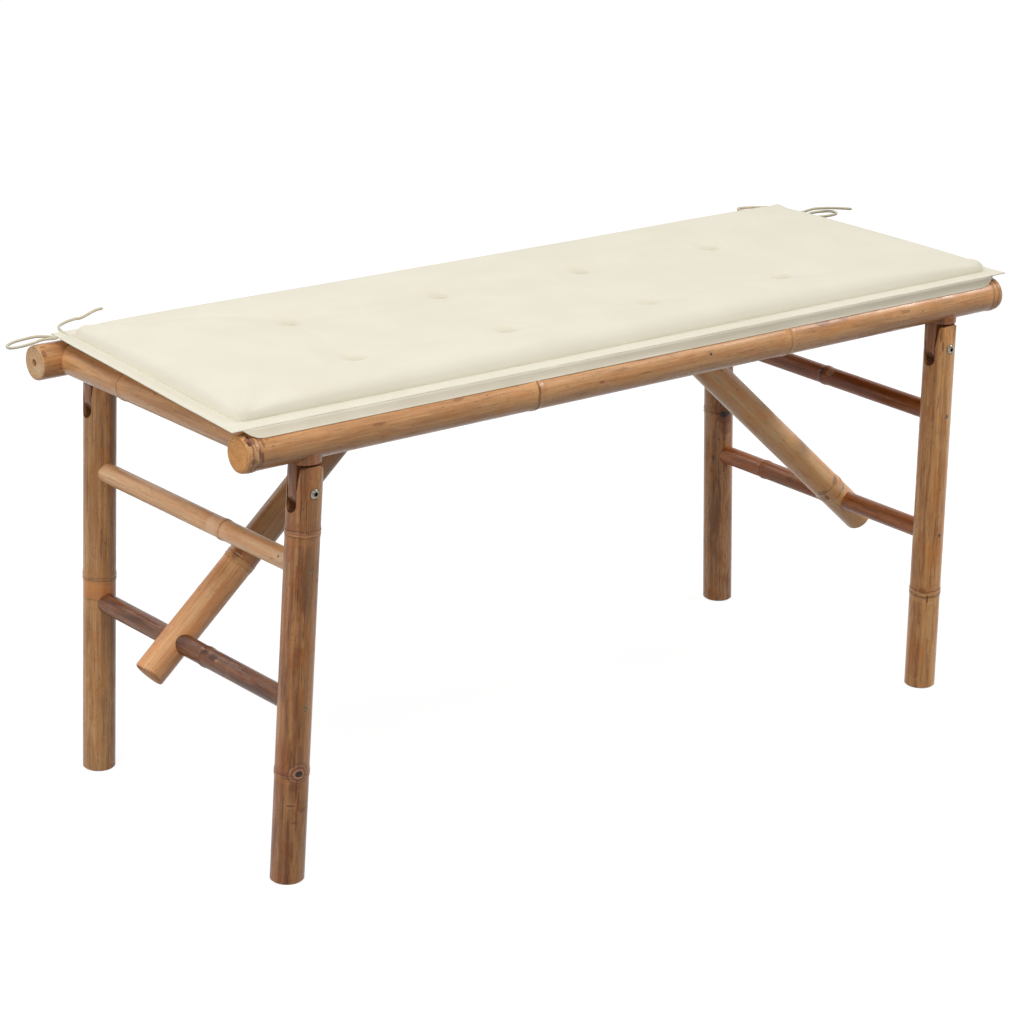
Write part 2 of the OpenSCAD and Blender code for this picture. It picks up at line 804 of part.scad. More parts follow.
long_rail(front, front_rings, false);  // front_rail
long_rail(back, back_rings, true);  // back_rail
side_rail(left, [60]);  // left_side_rail
side_rail(right, [-80]);  // right_side_rail
seat_bar(-hook_x);  // left_hook_bar
seat_bar(hook_x);  // right_hook_bar
seat_bar(-bearer_x);  // left_end_bearer
seat_bar(bearer_x);  // right_end_bearer
slat(0);  // slat_1
slat(1);  // slat_2
slat(2);  // slat_3
slat(3);  // slat_4
slat(4);  // slat_5
hinge_post(left, front);  // front_left_post
hinge_post(left, back);  // back_left_post
hinge_post(right, front);  // front_right_post
hinge_post(right, back);  // back_right_post
corner_dowels();
post_screws();
slat_nails();
seat_cushion();
tie(left_loop_route);  // left_tie_loop
tie(left_tail_route);  // left_tie_tail
tie(right_loop_route);  // right_tie_loop
tie(right_tail_route);  // right_tie_tail
tie(right_end_route);  // right_tie_end
leg(left, front, [115, 361]);  // front_left_leg
leg(left, back, [211]);  // back_left_leg
leg(right, front, [115]);  // front_right_leg
leg(right, back, [237]);  // back_right_leg
crossbar(left, upper_z, [-50], bamboo);  // left_upper_crossbar
crossbar(left, lower_z, [-26], bamboo_dark);  // left_lower_crossbar
crossbar(right, upper_z, [-6], bamboo);  // right_upper_crossbar
crossbar(right, lower_z, [90], bamboo_dark);  // right_lower_crossbar
crossbar_nails(left);  // left_crossbar_nails
crossbar_nails(right);  // right_crossbar_nails
hinge_bolts(left);  // left_hinge_bolts
hinge_bolts(right);  // right_hinge_bolts
hinge_nuts(left);  // left_hinge_nuts
hinge_nuts(right);  // right_hinge_nuts
brace(left, [104]);  // left_brace
brace(right, [23]);  // right_brace
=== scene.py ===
"""Looks of the folding garden bench: camera, floor, lights, bamboo, steel, cushion and ties.

Places are written in millimetres and turned into metres by MM. X runs along the bench,
Y from front to back and Z up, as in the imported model.
"""
import math

import bmesh
import bpy
from mathutils import Matrix, Vector, noise


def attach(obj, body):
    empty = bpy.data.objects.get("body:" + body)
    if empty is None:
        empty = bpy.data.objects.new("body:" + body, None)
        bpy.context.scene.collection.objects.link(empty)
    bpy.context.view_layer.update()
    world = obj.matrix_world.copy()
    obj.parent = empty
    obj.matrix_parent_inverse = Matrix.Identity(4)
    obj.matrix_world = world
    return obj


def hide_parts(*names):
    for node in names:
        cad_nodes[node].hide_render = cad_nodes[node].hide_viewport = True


MM = 0.001

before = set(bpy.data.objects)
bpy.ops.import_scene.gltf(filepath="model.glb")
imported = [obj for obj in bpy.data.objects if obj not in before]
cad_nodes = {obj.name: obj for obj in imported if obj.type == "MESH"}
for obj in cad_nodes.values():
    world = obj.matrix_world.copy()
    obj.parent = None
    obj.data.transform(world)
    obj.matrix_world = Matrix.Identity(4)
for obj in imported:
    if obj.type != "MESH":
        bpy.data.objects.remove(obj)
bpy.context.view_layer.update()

# Camera: where it stands, which way it looks in degrees, and its lens in millimetres.
CAMERA_AT = (-2200.94, -2649.79, 1439.47)
CAMERA_YAW = 50.61
CAMERA_PITCH = 19.16
CAMERA_ROLL = 1.5
CAMERA_LENS = 120.2
CAMERA_SENSOR = 36

# Stage: the floor's half size in metres, its colour for light and as it is seen, and the ambient light.
FLOOR_HALF = 12.0
FLOOR_PLAIN = (0.14, 0.137, 0.134, 1)
FLOOR_SHOWN = (0.22, 0.22, 0.22, 1)
FLOOR_GLOW = 0.90
AMBIENT = 0.43
WHITE = (1, 1, 1, 1)

# Lamps: place and size in metres and power in watts. All face the same point.
LAMPS = {
    "lamp_top": ((-0.9, -0.35, 3.1), 1.8, 33),
    "lamp_right": ((3.0, -1.4, 2.6), 0.7, 41),
    "lamp_left": ((-3.0, -0.6, 1.25), 1.2, 19),
    "lamp_back": ((-0.4, 2.8, 2.2), 1.4, 12),
}
LAMP_AIM = (0, 0, 0.3)

# Bench: the sizes that the pieces here share with the solids.
RAIL_Y, RAIL_Z, RAIL_R = 178, 449, 18
RAIL_HALF = 500
SIDE_X, SIDE_R = 464, 15
PIVOT_X, PIVOT_Z = 424, 401
FOOT_X, FOOT_Y = 437, 170
LEG_R = 17
POST_R = 16
CROSS_R = 10.5
UPPER_Z, LOWER_Z = 324, 184
UPPER_X, LOWER_X = 426.5, 431.035
BRACE_Y, BRACE_R, BRACE_TAIL, BRACE_SLOPE = 31, 16.5, 45, 41.7
BAR_R, BAR_Z, HOOK_X, BEARER_X = 10.5, 440, 155.7, 380
SLAT_R, SLAT_AXIS_Z, SLAT_PITCH, SLAT_HALF = 26, 439.6, 62, 448
SOCKET_R = 2.4
DOWEL_R = 5

# Where the fibres of the hinge posts start, and how far those of the braces reach above the crossbar.
POST_LOW, BRACE_REACH = 380, 400

# Cushion: outlines on the flange's level, front left, front right, back right, back left.
FLANGE_QUAD = ((-509, -182), (507, -190.5), (504, 167), (-475, 187))
BODY_QUAD = ((-490, -163), (498, -175), (486, 151), (-463, 170))
FLANGE_TOP, FLANGE_BOTTOM, CUSHION_LOW = 473.8, 472.2, 468.2
SEAM_Z = FLANGE_TOP - 0.3
BODY_RISE = 13.5
BODY_SHOULDER = 15
BODY_CORNER, CORNER_STEPS, BODY_CELL = 14, 5, 7
TUFTS = ((-293, -79), (-109, -85), (80, -87), (264, -91), (-275, 57), (-88, 53), (98, 46), (280, 43))
TUFT_DEPTH = 10
TUFT_RADIUS = 9
HOLLOW_DEPTH = 3
HOLLOW_RADIUS = 28
STITCH_HALF, STITCH_SKEW, STITCH_R, STITCH_SEEK = 4.5, 0.8, 0.7, 5
STITCH_ARCH = ((-1, 0.3), (-0.75, 1.6), (-0.35, 1.2), (0, 1), (0.35, 1.2), (0.75, 1.6), (1, 0.3))

# Stuffing: how far it may push the skin out, for how many frames, and the skin's cloth settings.
SWELL_LIMIT, SWELL_FRAMES = 2.5, 20
SWELL_SETTINGS = {
    "quality": 5, "use_pressure": True, "uniform_pressure_force": 1.2, "tension_stiffness": 40,
    "compression_stiffness": 40, "shear_stiffness": 20, "bending_stiffness": 0.8,
}

# Flange: the size of its mesh's cells, and its inner edge as a share of the body's outline.
FLANGE_CELL, FLANGE_TUCK = 9, 0.985

# Strip of cloth on the front rail: its ends along X, its thickness, the angles round the rail of its
# lower edge at both ends, and the cells of its mesh.
STRIP_LEFT, STRIP_RIGHT = -497, 488
STRIP_THICK = 1.1
STRIP_TURN_LEFT, STRIP_TURN_RIGHT = 34, 46
STRIP_STEPS, STRIP_ROWS = 150, 7

# Its gap to the rail, the share of its thickness that is added there, and the bend above its lower edge.
STRIP_GAP, STRIP_LIFT, STRIP_BEND = 0.3, 0.25, 2

# Cloths: thread colours, light and shaded, of 0 to 255, and the scale of the weave's pattern.
CUSHION_CLOTH = ((236, 230, 212), (233, 227, 208), 260.0)
# The strip is cut from the cushion's cloth; its colours are lighter, as painted light against the shade under
# the flange.
STRIP_CLOTH_PAINTED_LIGHT = ((241, 232, 210), (235, 225, 202), 260.0)
TIE_CLOTH = ((226, 219, 196), (206, 198, 172), 500.0)
# The colour of the painted shade in the dimples of the tufts.
HOLLOW_SHADE = (206, 196, 170)

# Tie cords: what the far end joins, and the places that each runs through.
TIE_DIAMETER = 3.0
TIE_STEPS, LONG_TIE_STEPS, LONG_TIE = 4, 3, 11
TIES = {
    "left_tie_loop": ("object", (
        (-476, 172, 473), (-482, 185, 472), (-492, 190, 472), (-504, 189, 472), (-518, 186, 472),
        (-528, 182, 471), (-530, 177, 470), (-524, 174, 470), (-512, 175, 470), (-498, 179, 470),
        (-488, 180, 471), (-478, 170, 473))),
    "left_tie_tail": ("bare", (
        (-464, 172, 473), (-463, 186, 474), (-460, 196, 476), (-452, 197, 479), (-442, 196, 481),
        (-434, 196, 481), (-424, 198, 483), (-414, 200, 485), (-406, 199, 486))),
    "right_tie_loop": ("object", (
        (492, 170, 473), (488, 178, 472), (480, 184, 472), (470, 188, 472), (461, 190, 472),
        (458, 187, 471), (461, 182, 471), (468, 177, 471), (474, 170, 473))),
    "right_tie_tail": ("object", (
        (496, 118, 473), (508, 124, 472), (519, 127, 472), (533, 125, 472), (542, 120, 472),
        (545, 115, 471), (540, 110, 471), (526, 109, 471), (514, 112, 471), (498, 108, 473))),
    "right_tie_end": ("bare", (
        (496, 134, 473), (510, 133, 473), (524, 131, 475), (538, 122, 476), (550, 113, 476),
        (562, 106, 475))),
}

# Bamboo: two fibre colours, of 0 to 255, for each kind of culm, and the colours of the spots on them.
# TONE_SCALE keeps the tones' ramp below white, and TONE_BACK undoes it. Within NODE_NEAR of a node the
# culm is lighter by NODE_BELOW and NODE_ABOVE, fading out by NODE_FAR.
TONE_SCALE, TONE_BACK = 0.72, 1.39
NODE_NEAR, NODE_FAR, NODE_BELOW, NODE_ABOVE = 6, 22, 1.06, 1.03
TAN = ((234, 178, 122), (192, 132, 82))
HONEY = ((255, 212, 152), (252, 174, 110))
AMBER = ((255, 200, 142), (234, 152, 94))
LIT = ((255, 212, 162), (234, 164, 110))
OLIVE = ((228, 174, 118), (168, 114, 66))
WARM = ((252, 192, 126), (192, 126, 72))
ROSY = ((212, 149, 92), (136, 83, 44))
UMBER = ((230, 174, 122), (150, 100, 62))
BROWN = ((158, 108, 78), (94, 58, 38))
RED = ((188, 107, 48), (116, 60, 20))
CORAL = ((232, 148, 86), (160, 90, 46))
POST = ((196, 134, 90), (126, 78, 48))
# The posts' cut colour, the second here, is their wood made dark with painted shade, where they stand between
# the rail and the forks.
RAIL_CUT, POST_CUT_SHADED, BRACE_CUT = (214, 158, 102), (128, 86, 56), (220, 152, 94)
LINE, HOLE, RUST = (88, 42, 20), (44, 24, 16), (122, 66, 34)
# The pink colour here is a painted sheen on the front left leg.
RING, PALE, PINK_SHEEN, ORANGE = (196, 144, 104), (238, 202, 162), (204, 154, 128), (224, 148, 84)

# The front left leg's knot, the cracks below it and the dark spots beside its node.
KNOT_AT = (-436.8, -188.8, 117)
KNOT_MARKS = (
    ((-446.5, -182.5, 116), 4, 7, 0.5, RUST), ((-434, -189.2, 117), 4, 4, 0.5, RUST),
    (KNOT_AT, 12, 13, 0.6, RUST), (KNOT_AT, 9.8, 10.5, 0.8, RING), (KNOT_AT, 7.8, 8.4, 0.85, RUST),
    (KNOT_AT, 5.6, 6.4, 0.85, RING), (KNOT_AT, 3.4, 4.2, 1, HOLE),
    ((-439.4, -188, 100.7), 12, 1.3, 0.75, RUST), ((-441, -187, 103), 4, 6, 0.45, RUST),
    ((-437, -188.6, 88), 11, 1.1, 0.7, RUST), ((-444.5, -185.3, 84.2), 3, 6.5, 0.5, RING),
    ((-444.5, -185.3, 84.2), 1.1, 5, 0.8, RUST), ((-432, -189.5, 78), 3, 5, 0.55, RUST),
    ((-434, -189.4, 83), 10, 1.3, 0.5, RUST),
    ((-439.1, -187.8, 68.9), 14, 1.4, 0.55, RUST), ((-440, -187.5, 66), 1.2, 5, 0.5, RUST),
    ((-446.7, -183.6, 58.8), 12, 1.6, 0.45, RUST), ((-443, -186, 36), 12, 1.6, 0.5, RUST),
    ((-435.9, -189.4, 136.9), 12, 2.2, 0.55, RUST), ((-445, -184, 140), 14, 2, 0.5, RUST),
    ((-418.1, -190.8, 312.6), 1.8, 1.8, 0.9, HOLE), ((-446, -183, 9), 12, 1.4, 0.5, RUST),
    ((-431, -190, 250), 22, 1.6, 0.5, RUST), ((-436, -188, 214), 18, 1.4, 0.5, RUST),
    ((-424, -193, 180), 22, 1.4, 0.45, RUST), ((-442, -184, 300), 16, 1.6, 0.45, RUST))

# Long rails: axis Y, nodes, tones between the nodes, colour of the cut ends, and marks.
RAILS = {
    "front_rail": (
        -RAIL_Y, ((6, 0.8, 0.7), (10, 0.5, 0.5), (14, 0.6, 0.6), (346, 1.3, 0.8), (684, 0.8, 0.4),
        (986, 0.8, 0.55), (993, 0.8, 0.6)),
        (0.9, 0.92, 0.95, 1, 0.97, 1.02, 0.98, 0.92), (250, 180, 110), (
        ((71.2, -195, 454.9), 1.5, 1.5, 0.95, HOLE), ((-494, -187.8, 464.1), 6, 6, 0.75, RUST),
        ((-489, -190.5, 459), 3, 2, 0.85, HOLE), ((-493, -184, 465.5), 2, 3, 0.85, HOLE),
        ((-487, -194, 452), 2, 6, 0.7, RUST), ((-494, -196, 446), 3, 3, 0.6, RUST),
        ((-484, -195, 447), 1.5, 7, 0.6, HOLE), ((-490, -195.5, 451), 1.2, 5, 0.6, PALE),
        ((-481, -190, 461), 1.5, 6, 0.55, RUST), ((-496, -190, 462), 2, 3, 0.8, HOLE),
        ((-488, -195, 440), 1.5, 5, 0.6, RUST), ((-483, -186, 464.5), 3, 5, 0.5, RUST),
        ((-431.3, -189.8, 435.4), 2.4, 2.2, 0.9, HOLE), ((-415.3, -188.9, 434.7), 2, 1.8, 0.85, HOLE),
        ((-424, -190, 436.5), 12, 4, 0.4, RUST), ((-74.8, -195.9, 450.4), 4, 1.4, 0.6, RUST),
        ((190, -188, 463.5), 5, 2, 0.6, RUST), ((230.9, -190.7, 461.8), 10, 4, 0.55, RUST),
        ((262, -191, 461), 7, 3, 0.45, RUST), ((-350, -194, 456), 9, 1.5, 0.45, RUST),
        ((-252, -190, 462), 7, 1.8, 0.45, RUST), ((350, -194, 455), 8, 2, 0.4, RUST))),
    "back_rail": (
        RAIL_Y, ((190, 1.2, 0.8), (540, 1.2, 0.8), (880, 1.2, 0.8)), (0.95, 1, 0.96, 1),
        (255, 212, 164), (
        ((-497, 165, 461), 3, 4, 0.6, RUST), ((-494, 172, 466), 4, 2, 0.6, RUST))),
}

# Legs: sides, nodes, tones, fibre colours, cut colour, mottling, bands, marks and stripes.
# The legs' cut colours are their wood made dark with painted shade, for the insides of the forks' slots.
LEGS = {
    "front_left_leg": (
        -1, -1, ((115, 1.2, 0.5), (358, 0.7, 0.6), (364, 0.7, 0.6)), (0.87, 0.98, 1, 1),
        ROSY, (140, 92, 60), 1, ((361, 2.2, 0.4, RING),), KNOT_MARKS, (
        # The pink stripe on the left side is a painted sheen.
        ((-1, -0.1, 0), 7, 0.2, PINK_SHEEN), ((-0.62, -0.78, 0), 3, 0.5, (100, 60, 38)),
        ((0.1, -1, 0), 5, 0.35, (206, 158, 108)), ((-0.9, -0.4, 0), 2, 0.4, (110, 68, 44)))),
    "back_left_leg": (
        -1, 1, ((187.5, 0.7, 0.4), (209, 0.9, 0.5)), (0.97, 1, 0.97), OLIVE,
        (140, 96, 62), 0.6, ((198, 9, 0.8, ORANGE),), (
        ((-446, 170, 60), 4, 2, 0.5, RUST), ((-440, 158, 96), 5, 2, 0.5, RUST),
        ((-452, 168, 130), 7, 2, 0.4, RUST)),
        (((0.6, -0.8, 0), 6, 0.35, (130, 90, 60)), ((-0.9, -0.4, 0), 2, 0.35, (150, 104, 66)))),
    "front_right_leg": (
        1, -1, ((113, 1.7, 0.6), (119, 0.8, 0.7)), (1, 1, 1.03), WARM,
        (160, 108, 68), 0.65, (), (
        ((423, -186.5, 108), 7, 1.6, 0.8, RUST), ((427, -187.5, 104), 2, 5, 0.5, PALE),
        ((417, -184, 119), 4, 6, 0.5, RUST), ((411.9, -190.7, 418), 9, 1.4, 0.6, RUST),
        ((414.7, -192.3, 405), 6, 1.4, 0.6, RUST)), (
        ((-1, -0.15, 0), 6, 0.4, (150, 96, 60)), ((-0.9, -0.52, 0), 1.8, 0.5, (112, 68, 42)))),
    "back_right_leg": (
        1, 1, ((237, 1.3, 0.5),), (1, 0.88), UMBER, (140, 96, 62), 1, (), (
        ((426, 158.6, 240), 18, 16, 0.45, RUST), ((428, 158.6, 222), 12, 10, 0.5, RUST),
        ((426, 158.6, 233), 10, 12, 0.6, RUST), ((425, 158.8, 236), 7, 9, 0.7, RUST),
        ((425.5, 158.8, 235.5), 4, 7, 1, HOLE), ((416.2, 165.4, 181.4), 3, 1.5, 0.6, HOLE),
        ((425, 158, 215), 14, 4, 0.4, RUST)), (((0.3, -1, 0), 4, 0.35, (110, 70, 46)),)),
}

# Crossbars: side, X and Z, half length, nodes, tones, fibre colours, mottling, bands and marks.
BARS = {
    "left_upper_crossbar": (
        -1, UPPER_X, UPPER_Z, 180.5, ((127, 0.7, 0.55), (152, 0.5, 0.3)),
        (1, 1.04, 1), LIT, 0.35, ((139, 9, 0.5, (255, 214, 176)),), (
        ((-435.8, -152, 328.9), 9, 6, 0.6, PALE), ((-435.8, -152, 328.9), 1.6, 1.4, 0.9, RUST))),
    "right_upper_crossbar": (
        1, UPPER_X, UPPER_Z, 180.5, ((174, 1, 0.6),), (0.9, 1.1), RED, 0.5, (), (
        ((419.2, -17.5, 331.6), 6, 5, 0.4, PALE), ((418, -4, 330), 3, 4, 0.6, HOLE))),
    "left_lower_crossbar": (
        -1, LOWER_X, LOWER_Z, 177.7, ((109, 0.7, 0.4), (152, 1, 0.6)),
        (1, 1, 1.04), BROWN, 0.9, (), (
        ((-438.1, -45, 191.7), 7, 3.5, 0.85, HOLE), ((-437.6, -30.3, 192.2), 6, 3, 0.7, HOLE),
        ((-433.8, -15.9, 194.1), 5, 3, 0.7, RUST), ((-440, -38, 188), 16, 5, 0.45, RUST),
        ((-436, -24, 193.5), 4, 1.5, 0.7, RING), ((-439, -52, 190.5), 3, 1.5, 0.7, RING))),
    "right_lower_crossbar": (
        1, LOWER_X, LOWER_Z, 177.7, ((268, 1, 0.2),), (0.78, 1.05), CORAL, 0.5, (), (
        ((421, 40, 187), 6, 3, 0.5, RUST),)),
}

# Braces: side, nodes, tones, fibre colours, bands and marks.
BRACES = {
    # The left brace's last tone, 0.52, is painted shade where the brace runs up under the seat.
    "left_brace": (
        -1, ((143, 0.7, 0.3), (150, 0.6, 0.4)), (1, 0.97, 0.52), AMBER,
        ((146.5, 2, 0.75, (240, 186, 122)), (160, 16, 0.4, (140, 84, 46))), (
        ((-364.6, 21.7, 268), 10, 6, 0.5, RUST), ((-467, 18, 158), 2, 12, 0.5, RUST))),
    "right_brace": (
        1, ((64, 1, 0.5), (81, 0.9, 0.5)), (0.97, 1.04, 1.04), HONEY,
        ((72, 7, 0.35, (206, 150, 100)),), (
        ((418, -47.1, 200.7), 8, 4, 0.6, PALE), ((402.1, -41.4, 192.6), 5, 2, 0.7, HOLE),
        ((408.6, -46.1, 213), 5, 7, 0.5, RUST), ((394.5, -40.7, 198.7), 4, 6, 0.55, RUST),
        ((422.9, -45.1, 202.8), 2, 6, 0.6, HOLE))),
}

# Steel: colour, roughness and the axes of the sockets, as X and Z, where shade is painted into the sockets.
STEELS = {
    "left_hinge_bolts": ((150, 143, 130), 0.22, ((-PIVOT_X, PIVOT_Z),)),
    "right_hinge_bolts": ((150, 143, 130), 0.22, ((PIVOT_X, PIVOT_Z),)),
    "left_hinge_nuts": ((206, 200, 190), 0.3, ()),
    "right_hinge_nuts": ((206, 200, 190), 0.3, ()),
    "left_crossbar_nails": ((120, 104, 88), 0.45, ()),
    "right_crossbar_nails": ((120, 104, 88), 0.45, ()),
    "post_screws": ((196, 186, 160), 0.32, ()),
    "slat_nails": ((176, 170, 160), 0.38, ()),
}
# The colour of the painted shade in the sockets.
SOCKET_SHADE = (30, 28, 26)


def metres(point):
    """A point in millimetres as a vector in metres."""
    return Vector(point) * MM


def linear(red, green, blue):
    """An sRGB colour of 0 to 255 as the linear colour that a shader takes."""
    def part(value):
        value /= 255
        return value / 12.92 if value <= 0.04045 else ((value + 0.055) / 1.055) ** 2.4
    return (part(red), part(green), part(blue), 1.0)


def new_object(name, points, faces, round_shading=True):
    """An object in the scene from points in metres."""
    mesh = bpy.data.meshes.new(name)
    mesh.from_pydata([tuple(p) for p in points], [], faces)
    mesh.update()
    if round_shading:
        mesh.polygons.foreach_set("use_smooth", [True] * len(mesh.polygons))
    made = bpy.data.objects.new(name, mesh)
    bpy.context.scene.collection.objects.link(made)
    return made


def dress(node, material):
    """Gives a CAD node its material."""
    mesh = cad_nodes[node].data
    mesh.materials.clear()
    mesh.materials.append(material)


# Camera, floor, backdrop and lights


def make_camera():
    yaw, pitch, roll = (math.radians(a) for a in (CAMERA_YAW, CAMERA_PITCH, CAMERA_ROLL))
    ahead = Vector((math.cos(yaw) * math.cos(pitch), math.sin(yaw) * math.cos(pitch), -math.sin(pitch)))
    level = Vector((math.sin(yaw), -math.cos(yaw), 0))
    upright = level.cross(ahead)
    right = level * math.cos(roll) + upright * math.sin(roll)
    top = upright * math.cos(roll) - level * math.sin(roll)
    data = bpy.data.cameras.new("camera")
    data.sensor_fit = "HORIZONTAL"
    data.sensor_width = CAMERA_SENSOR
    data.lens = CAMERA_LENS
    camera = bpy.data.objects.new("camera", data)
    turn = Matrix((right, top, -ahead)).transposed().to_4x4()
    camera.matrix_world = Matrix.Translation(metres(CAMERA_AT)) @ turn
    bpy.context.scene.collection.objects.link(camera)
    bpy.context.scene.camera = camera


def put(tree, kind, inputs=None, **settings):
    """A shader node with its settings, and its inputs set to values or linked to sockets."""
    node = tree.nodes.new(kind)
    for key, value in settings.items():
        setattr(node, key, value)
    for key, value in (inputs or {}).items():
        if isinstance(value, bpy.types.NodeSocket):
            tree.links.new(value, node.inputs[key])
        else:
            node.inputs[key].default_value = value
    return node


def calc(tree, operation, *values):
    """The result of a Math node."""
    inputs = dict(enumerate(values))
    return put(tree, "ShaderNodeMath", inputs, operation=operation).outputs[0]


def vector_node(tree, operation, first, second=None):
    """A Vector Math node."""
    inputs = {0: first} if second is None else {0: first, 1: second}
    return put(tree, "ShaderNodeVectorMath", inputs, operation=operation)


def distance(tree, place, centre, scale):
    """How far a place is from a centre, with each axis scaled."""
    gap = vector_node(tree, "SUBTRACT", place, centre)
    scaled = vector_node(tree, "MULTIPLY", gap.outputs[0], scale)
    return vector_node(tree, "LENGTH", scaled.outputs[0]).outputs["Value"]


def noise_at(tree, place, scale, detail):
    """A noise at a place, as a number from 0 to 1."""
    inputs = {"Vector": place, "Scale": scale, "Detail": detail}
    return put(tree, "ShaderNodeTexNoise", inputs).outputs["Fac"]


def sum_of(tree, *terms):
    """The sum of values, each times its weight."""
    value, weight = terms[0]
    total = calc(tree, "MULTIPLY", value, weight)
    for value, weight in terms[1:]:
        total = calc(tree, "ADD", total, calc(tree, "MULTIPLY", value, weight))
    return total


def rise(tree, value, low, high, start=0.0, end=1.0):
    """Start below low, end above high and a smooth step between."""
    inputs = {"Value": value, "From Min": low, "From Max": high, "To Min": start, "To Max": end}
    return put(tree, "ShaderNodeMapRange", inputs, interpolation_type="SMOOTHSTEP").outputs[0]


def blend_colours(tree, share, first, second, how="MIX"):
    """A mix of two colours."""
    inputs = {0: share, 6: first, 7: second}
    return put(tree, "ShaderNodeMix", inputs, data_type="RGBA", blend_type=how).outputs[2]


def new_material(name):
    """An empty material and its node tree."""
    made = bpy.data.materials.new(name)
    made.use_nodes = True
    made.node_tree.nodes.clear()
    return made, made.node_tree


def mix_shaders(tree, lighting, shown):
    """One shader for the light that it gives, one for rays from the camera, off gloss or through glass."""
    path = put(tree, "ShaderNodeLightPath")
    seen = calc(tree, "MAXIMUM", path.outputs["Is Camera Ray"], path.outputs["Is Glossy Ray"])
    seen = calc(tree, "MAXIMUM", seen, path.outputs["Is Transmission Ray"])
    return put(tree, "ShaderNodeMixShader", {0: seen, 1: lighting.outputs[0], 2: shown.outputs[0]})


def make_floor():
    half = FLOOR_HALF
    floor = new_object("floor", [(-half, -half, 0), (half, -half, 0), (half, half, 0), (-half, half, 0)],
                       [(0, 1, 2, 3)], round_shading=False)
    made, tree = new_material("floor")
    plain = put(tree, "ShaderNodeBsdfDiffuse", {"Color": FLOOR_PLAIN})
    pale = put(tree, "ShaderNodeBsdfDiffuse", {"Color": FLOOR_SHOWN})
    white = put(tree, "ShaderNodeEmission", {"Color": WHITE, "Strength": FLOOR_GLOW})
    shown = put(tree, "ShaderNodeAddShader", {0: pale.outputs[0], 1: white.outputs[0]})
    both = mix_shaders(tree, plain, shown)
    put(tree, "ShaderNodeOutputMaterial", {"Surface": both.outputs[0]})
    floor.data.materials.append(made)


def make_world():
    world = bpy.data.worlds.new("world")
    world.use_nodes = True
    tree = world.node_tree
    tree.nodes.clear()
    ambient = put(tree, "ShaderNodeBackground", {"Color": WHITE, "Strength": AMBIENT})
    white = put(tree, "ShaderNodeBackground", {"Color": WHITE, "Strength": 1.0})
    both = mix_shaders(tree, ambient, white)
    put(tree, "ShaderNodeOutputWorld", {"Surface": both.outputs[0]})
    bpy.context.scene.world = world


def make_lamps():
    """Square lamps that face the bench."""
    for name, (at, size, power) in LAMPS.items():
        data = bpy.data.lights.new(name, "AREA")
        data.shape = "SQUARE"
        data.size = size
        data.energy = power
        lamp = bpy.data.objects.new(name, data)
        aim = Vector(LAMP_AIM) - Vector(at)
        lamp.matrix_world = Matrix.Translation(at) @ aim.to_track_quat("-Z", "Y").to_matrix().to_4x4()
        bpy.context.scene.collection.objects.link(lamp)


# Tie cords


def curve_through(points, steps):
    """A smooth curve through the points, with some steps between each two."""
    line = []
    last = len(points) - 1
    for k in range(last):
        a, b, c, d = points[max(k - 1, 0)], points[k], points[k + 1], points[min(k + 2, last)]
        for s in range(steps):
            u = s / steps
            line.append(b + (c - a) * (u / 2) + (2 * a - 5 * b + 4 * c - d) * (u * u / 2)
                        + (3 * b - a - 3 * c + d) * (u ** 3 / 2))
    line.append(points[last])
    return line


def tube(name, line, radius, sides=12, taper=0.0):
    """A round tube along a line. Its two end rings are narrower by the taper."""
    points, faces = [], []
    side = (line[1] - line[0]).cross(Vector((0, 0, 1))).normalized()
    for k, centre in enumerate(line):
        aim = (line[min(k + 1, len(line) - 1)] - line[max(k - 1, 0)]).normalized()
        side = (side - aim * side.dot(aim)).normalized()
        up = side.cross(aim)
        near_end = min(k, len(line) - 1 - k)
        wide = radius * (1 - taper) if near_end == 0 else radius
        for s in range(sides):
            turn = math.tau * s / sides
            points.append(centre + (side * math.cos(turn) + up * math.sin(turn)) * wide)
    for k in range(len(line) - 1):
        for s in range(sides):
            a, b = k * sides + s, k * sides + (s + 1) % sides
            faces.append((a, b, b + sides, a + sides))
    faces.append(tuple(range(sides)))
    faces.append(tuple(reversed(range(len(points) - sides, len(points)))))
    return new_object(name, points, faces)


def make_ties(cloth):
    for name, (far_end, route) in TIES.items():
        steps = TIE_STEPS if len(route) < LONG_TIE else LONG_TIE_STEPS
        line = curve_through([metres(p) for p in route], steps)
        piece = tube(name + "_cord", line, TIE_DIAMETER * MM / 2, taper=0.3)
        piece.data.materials.append(cloth)
        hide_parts(name)
        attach(piece, "seat")


# Fabric


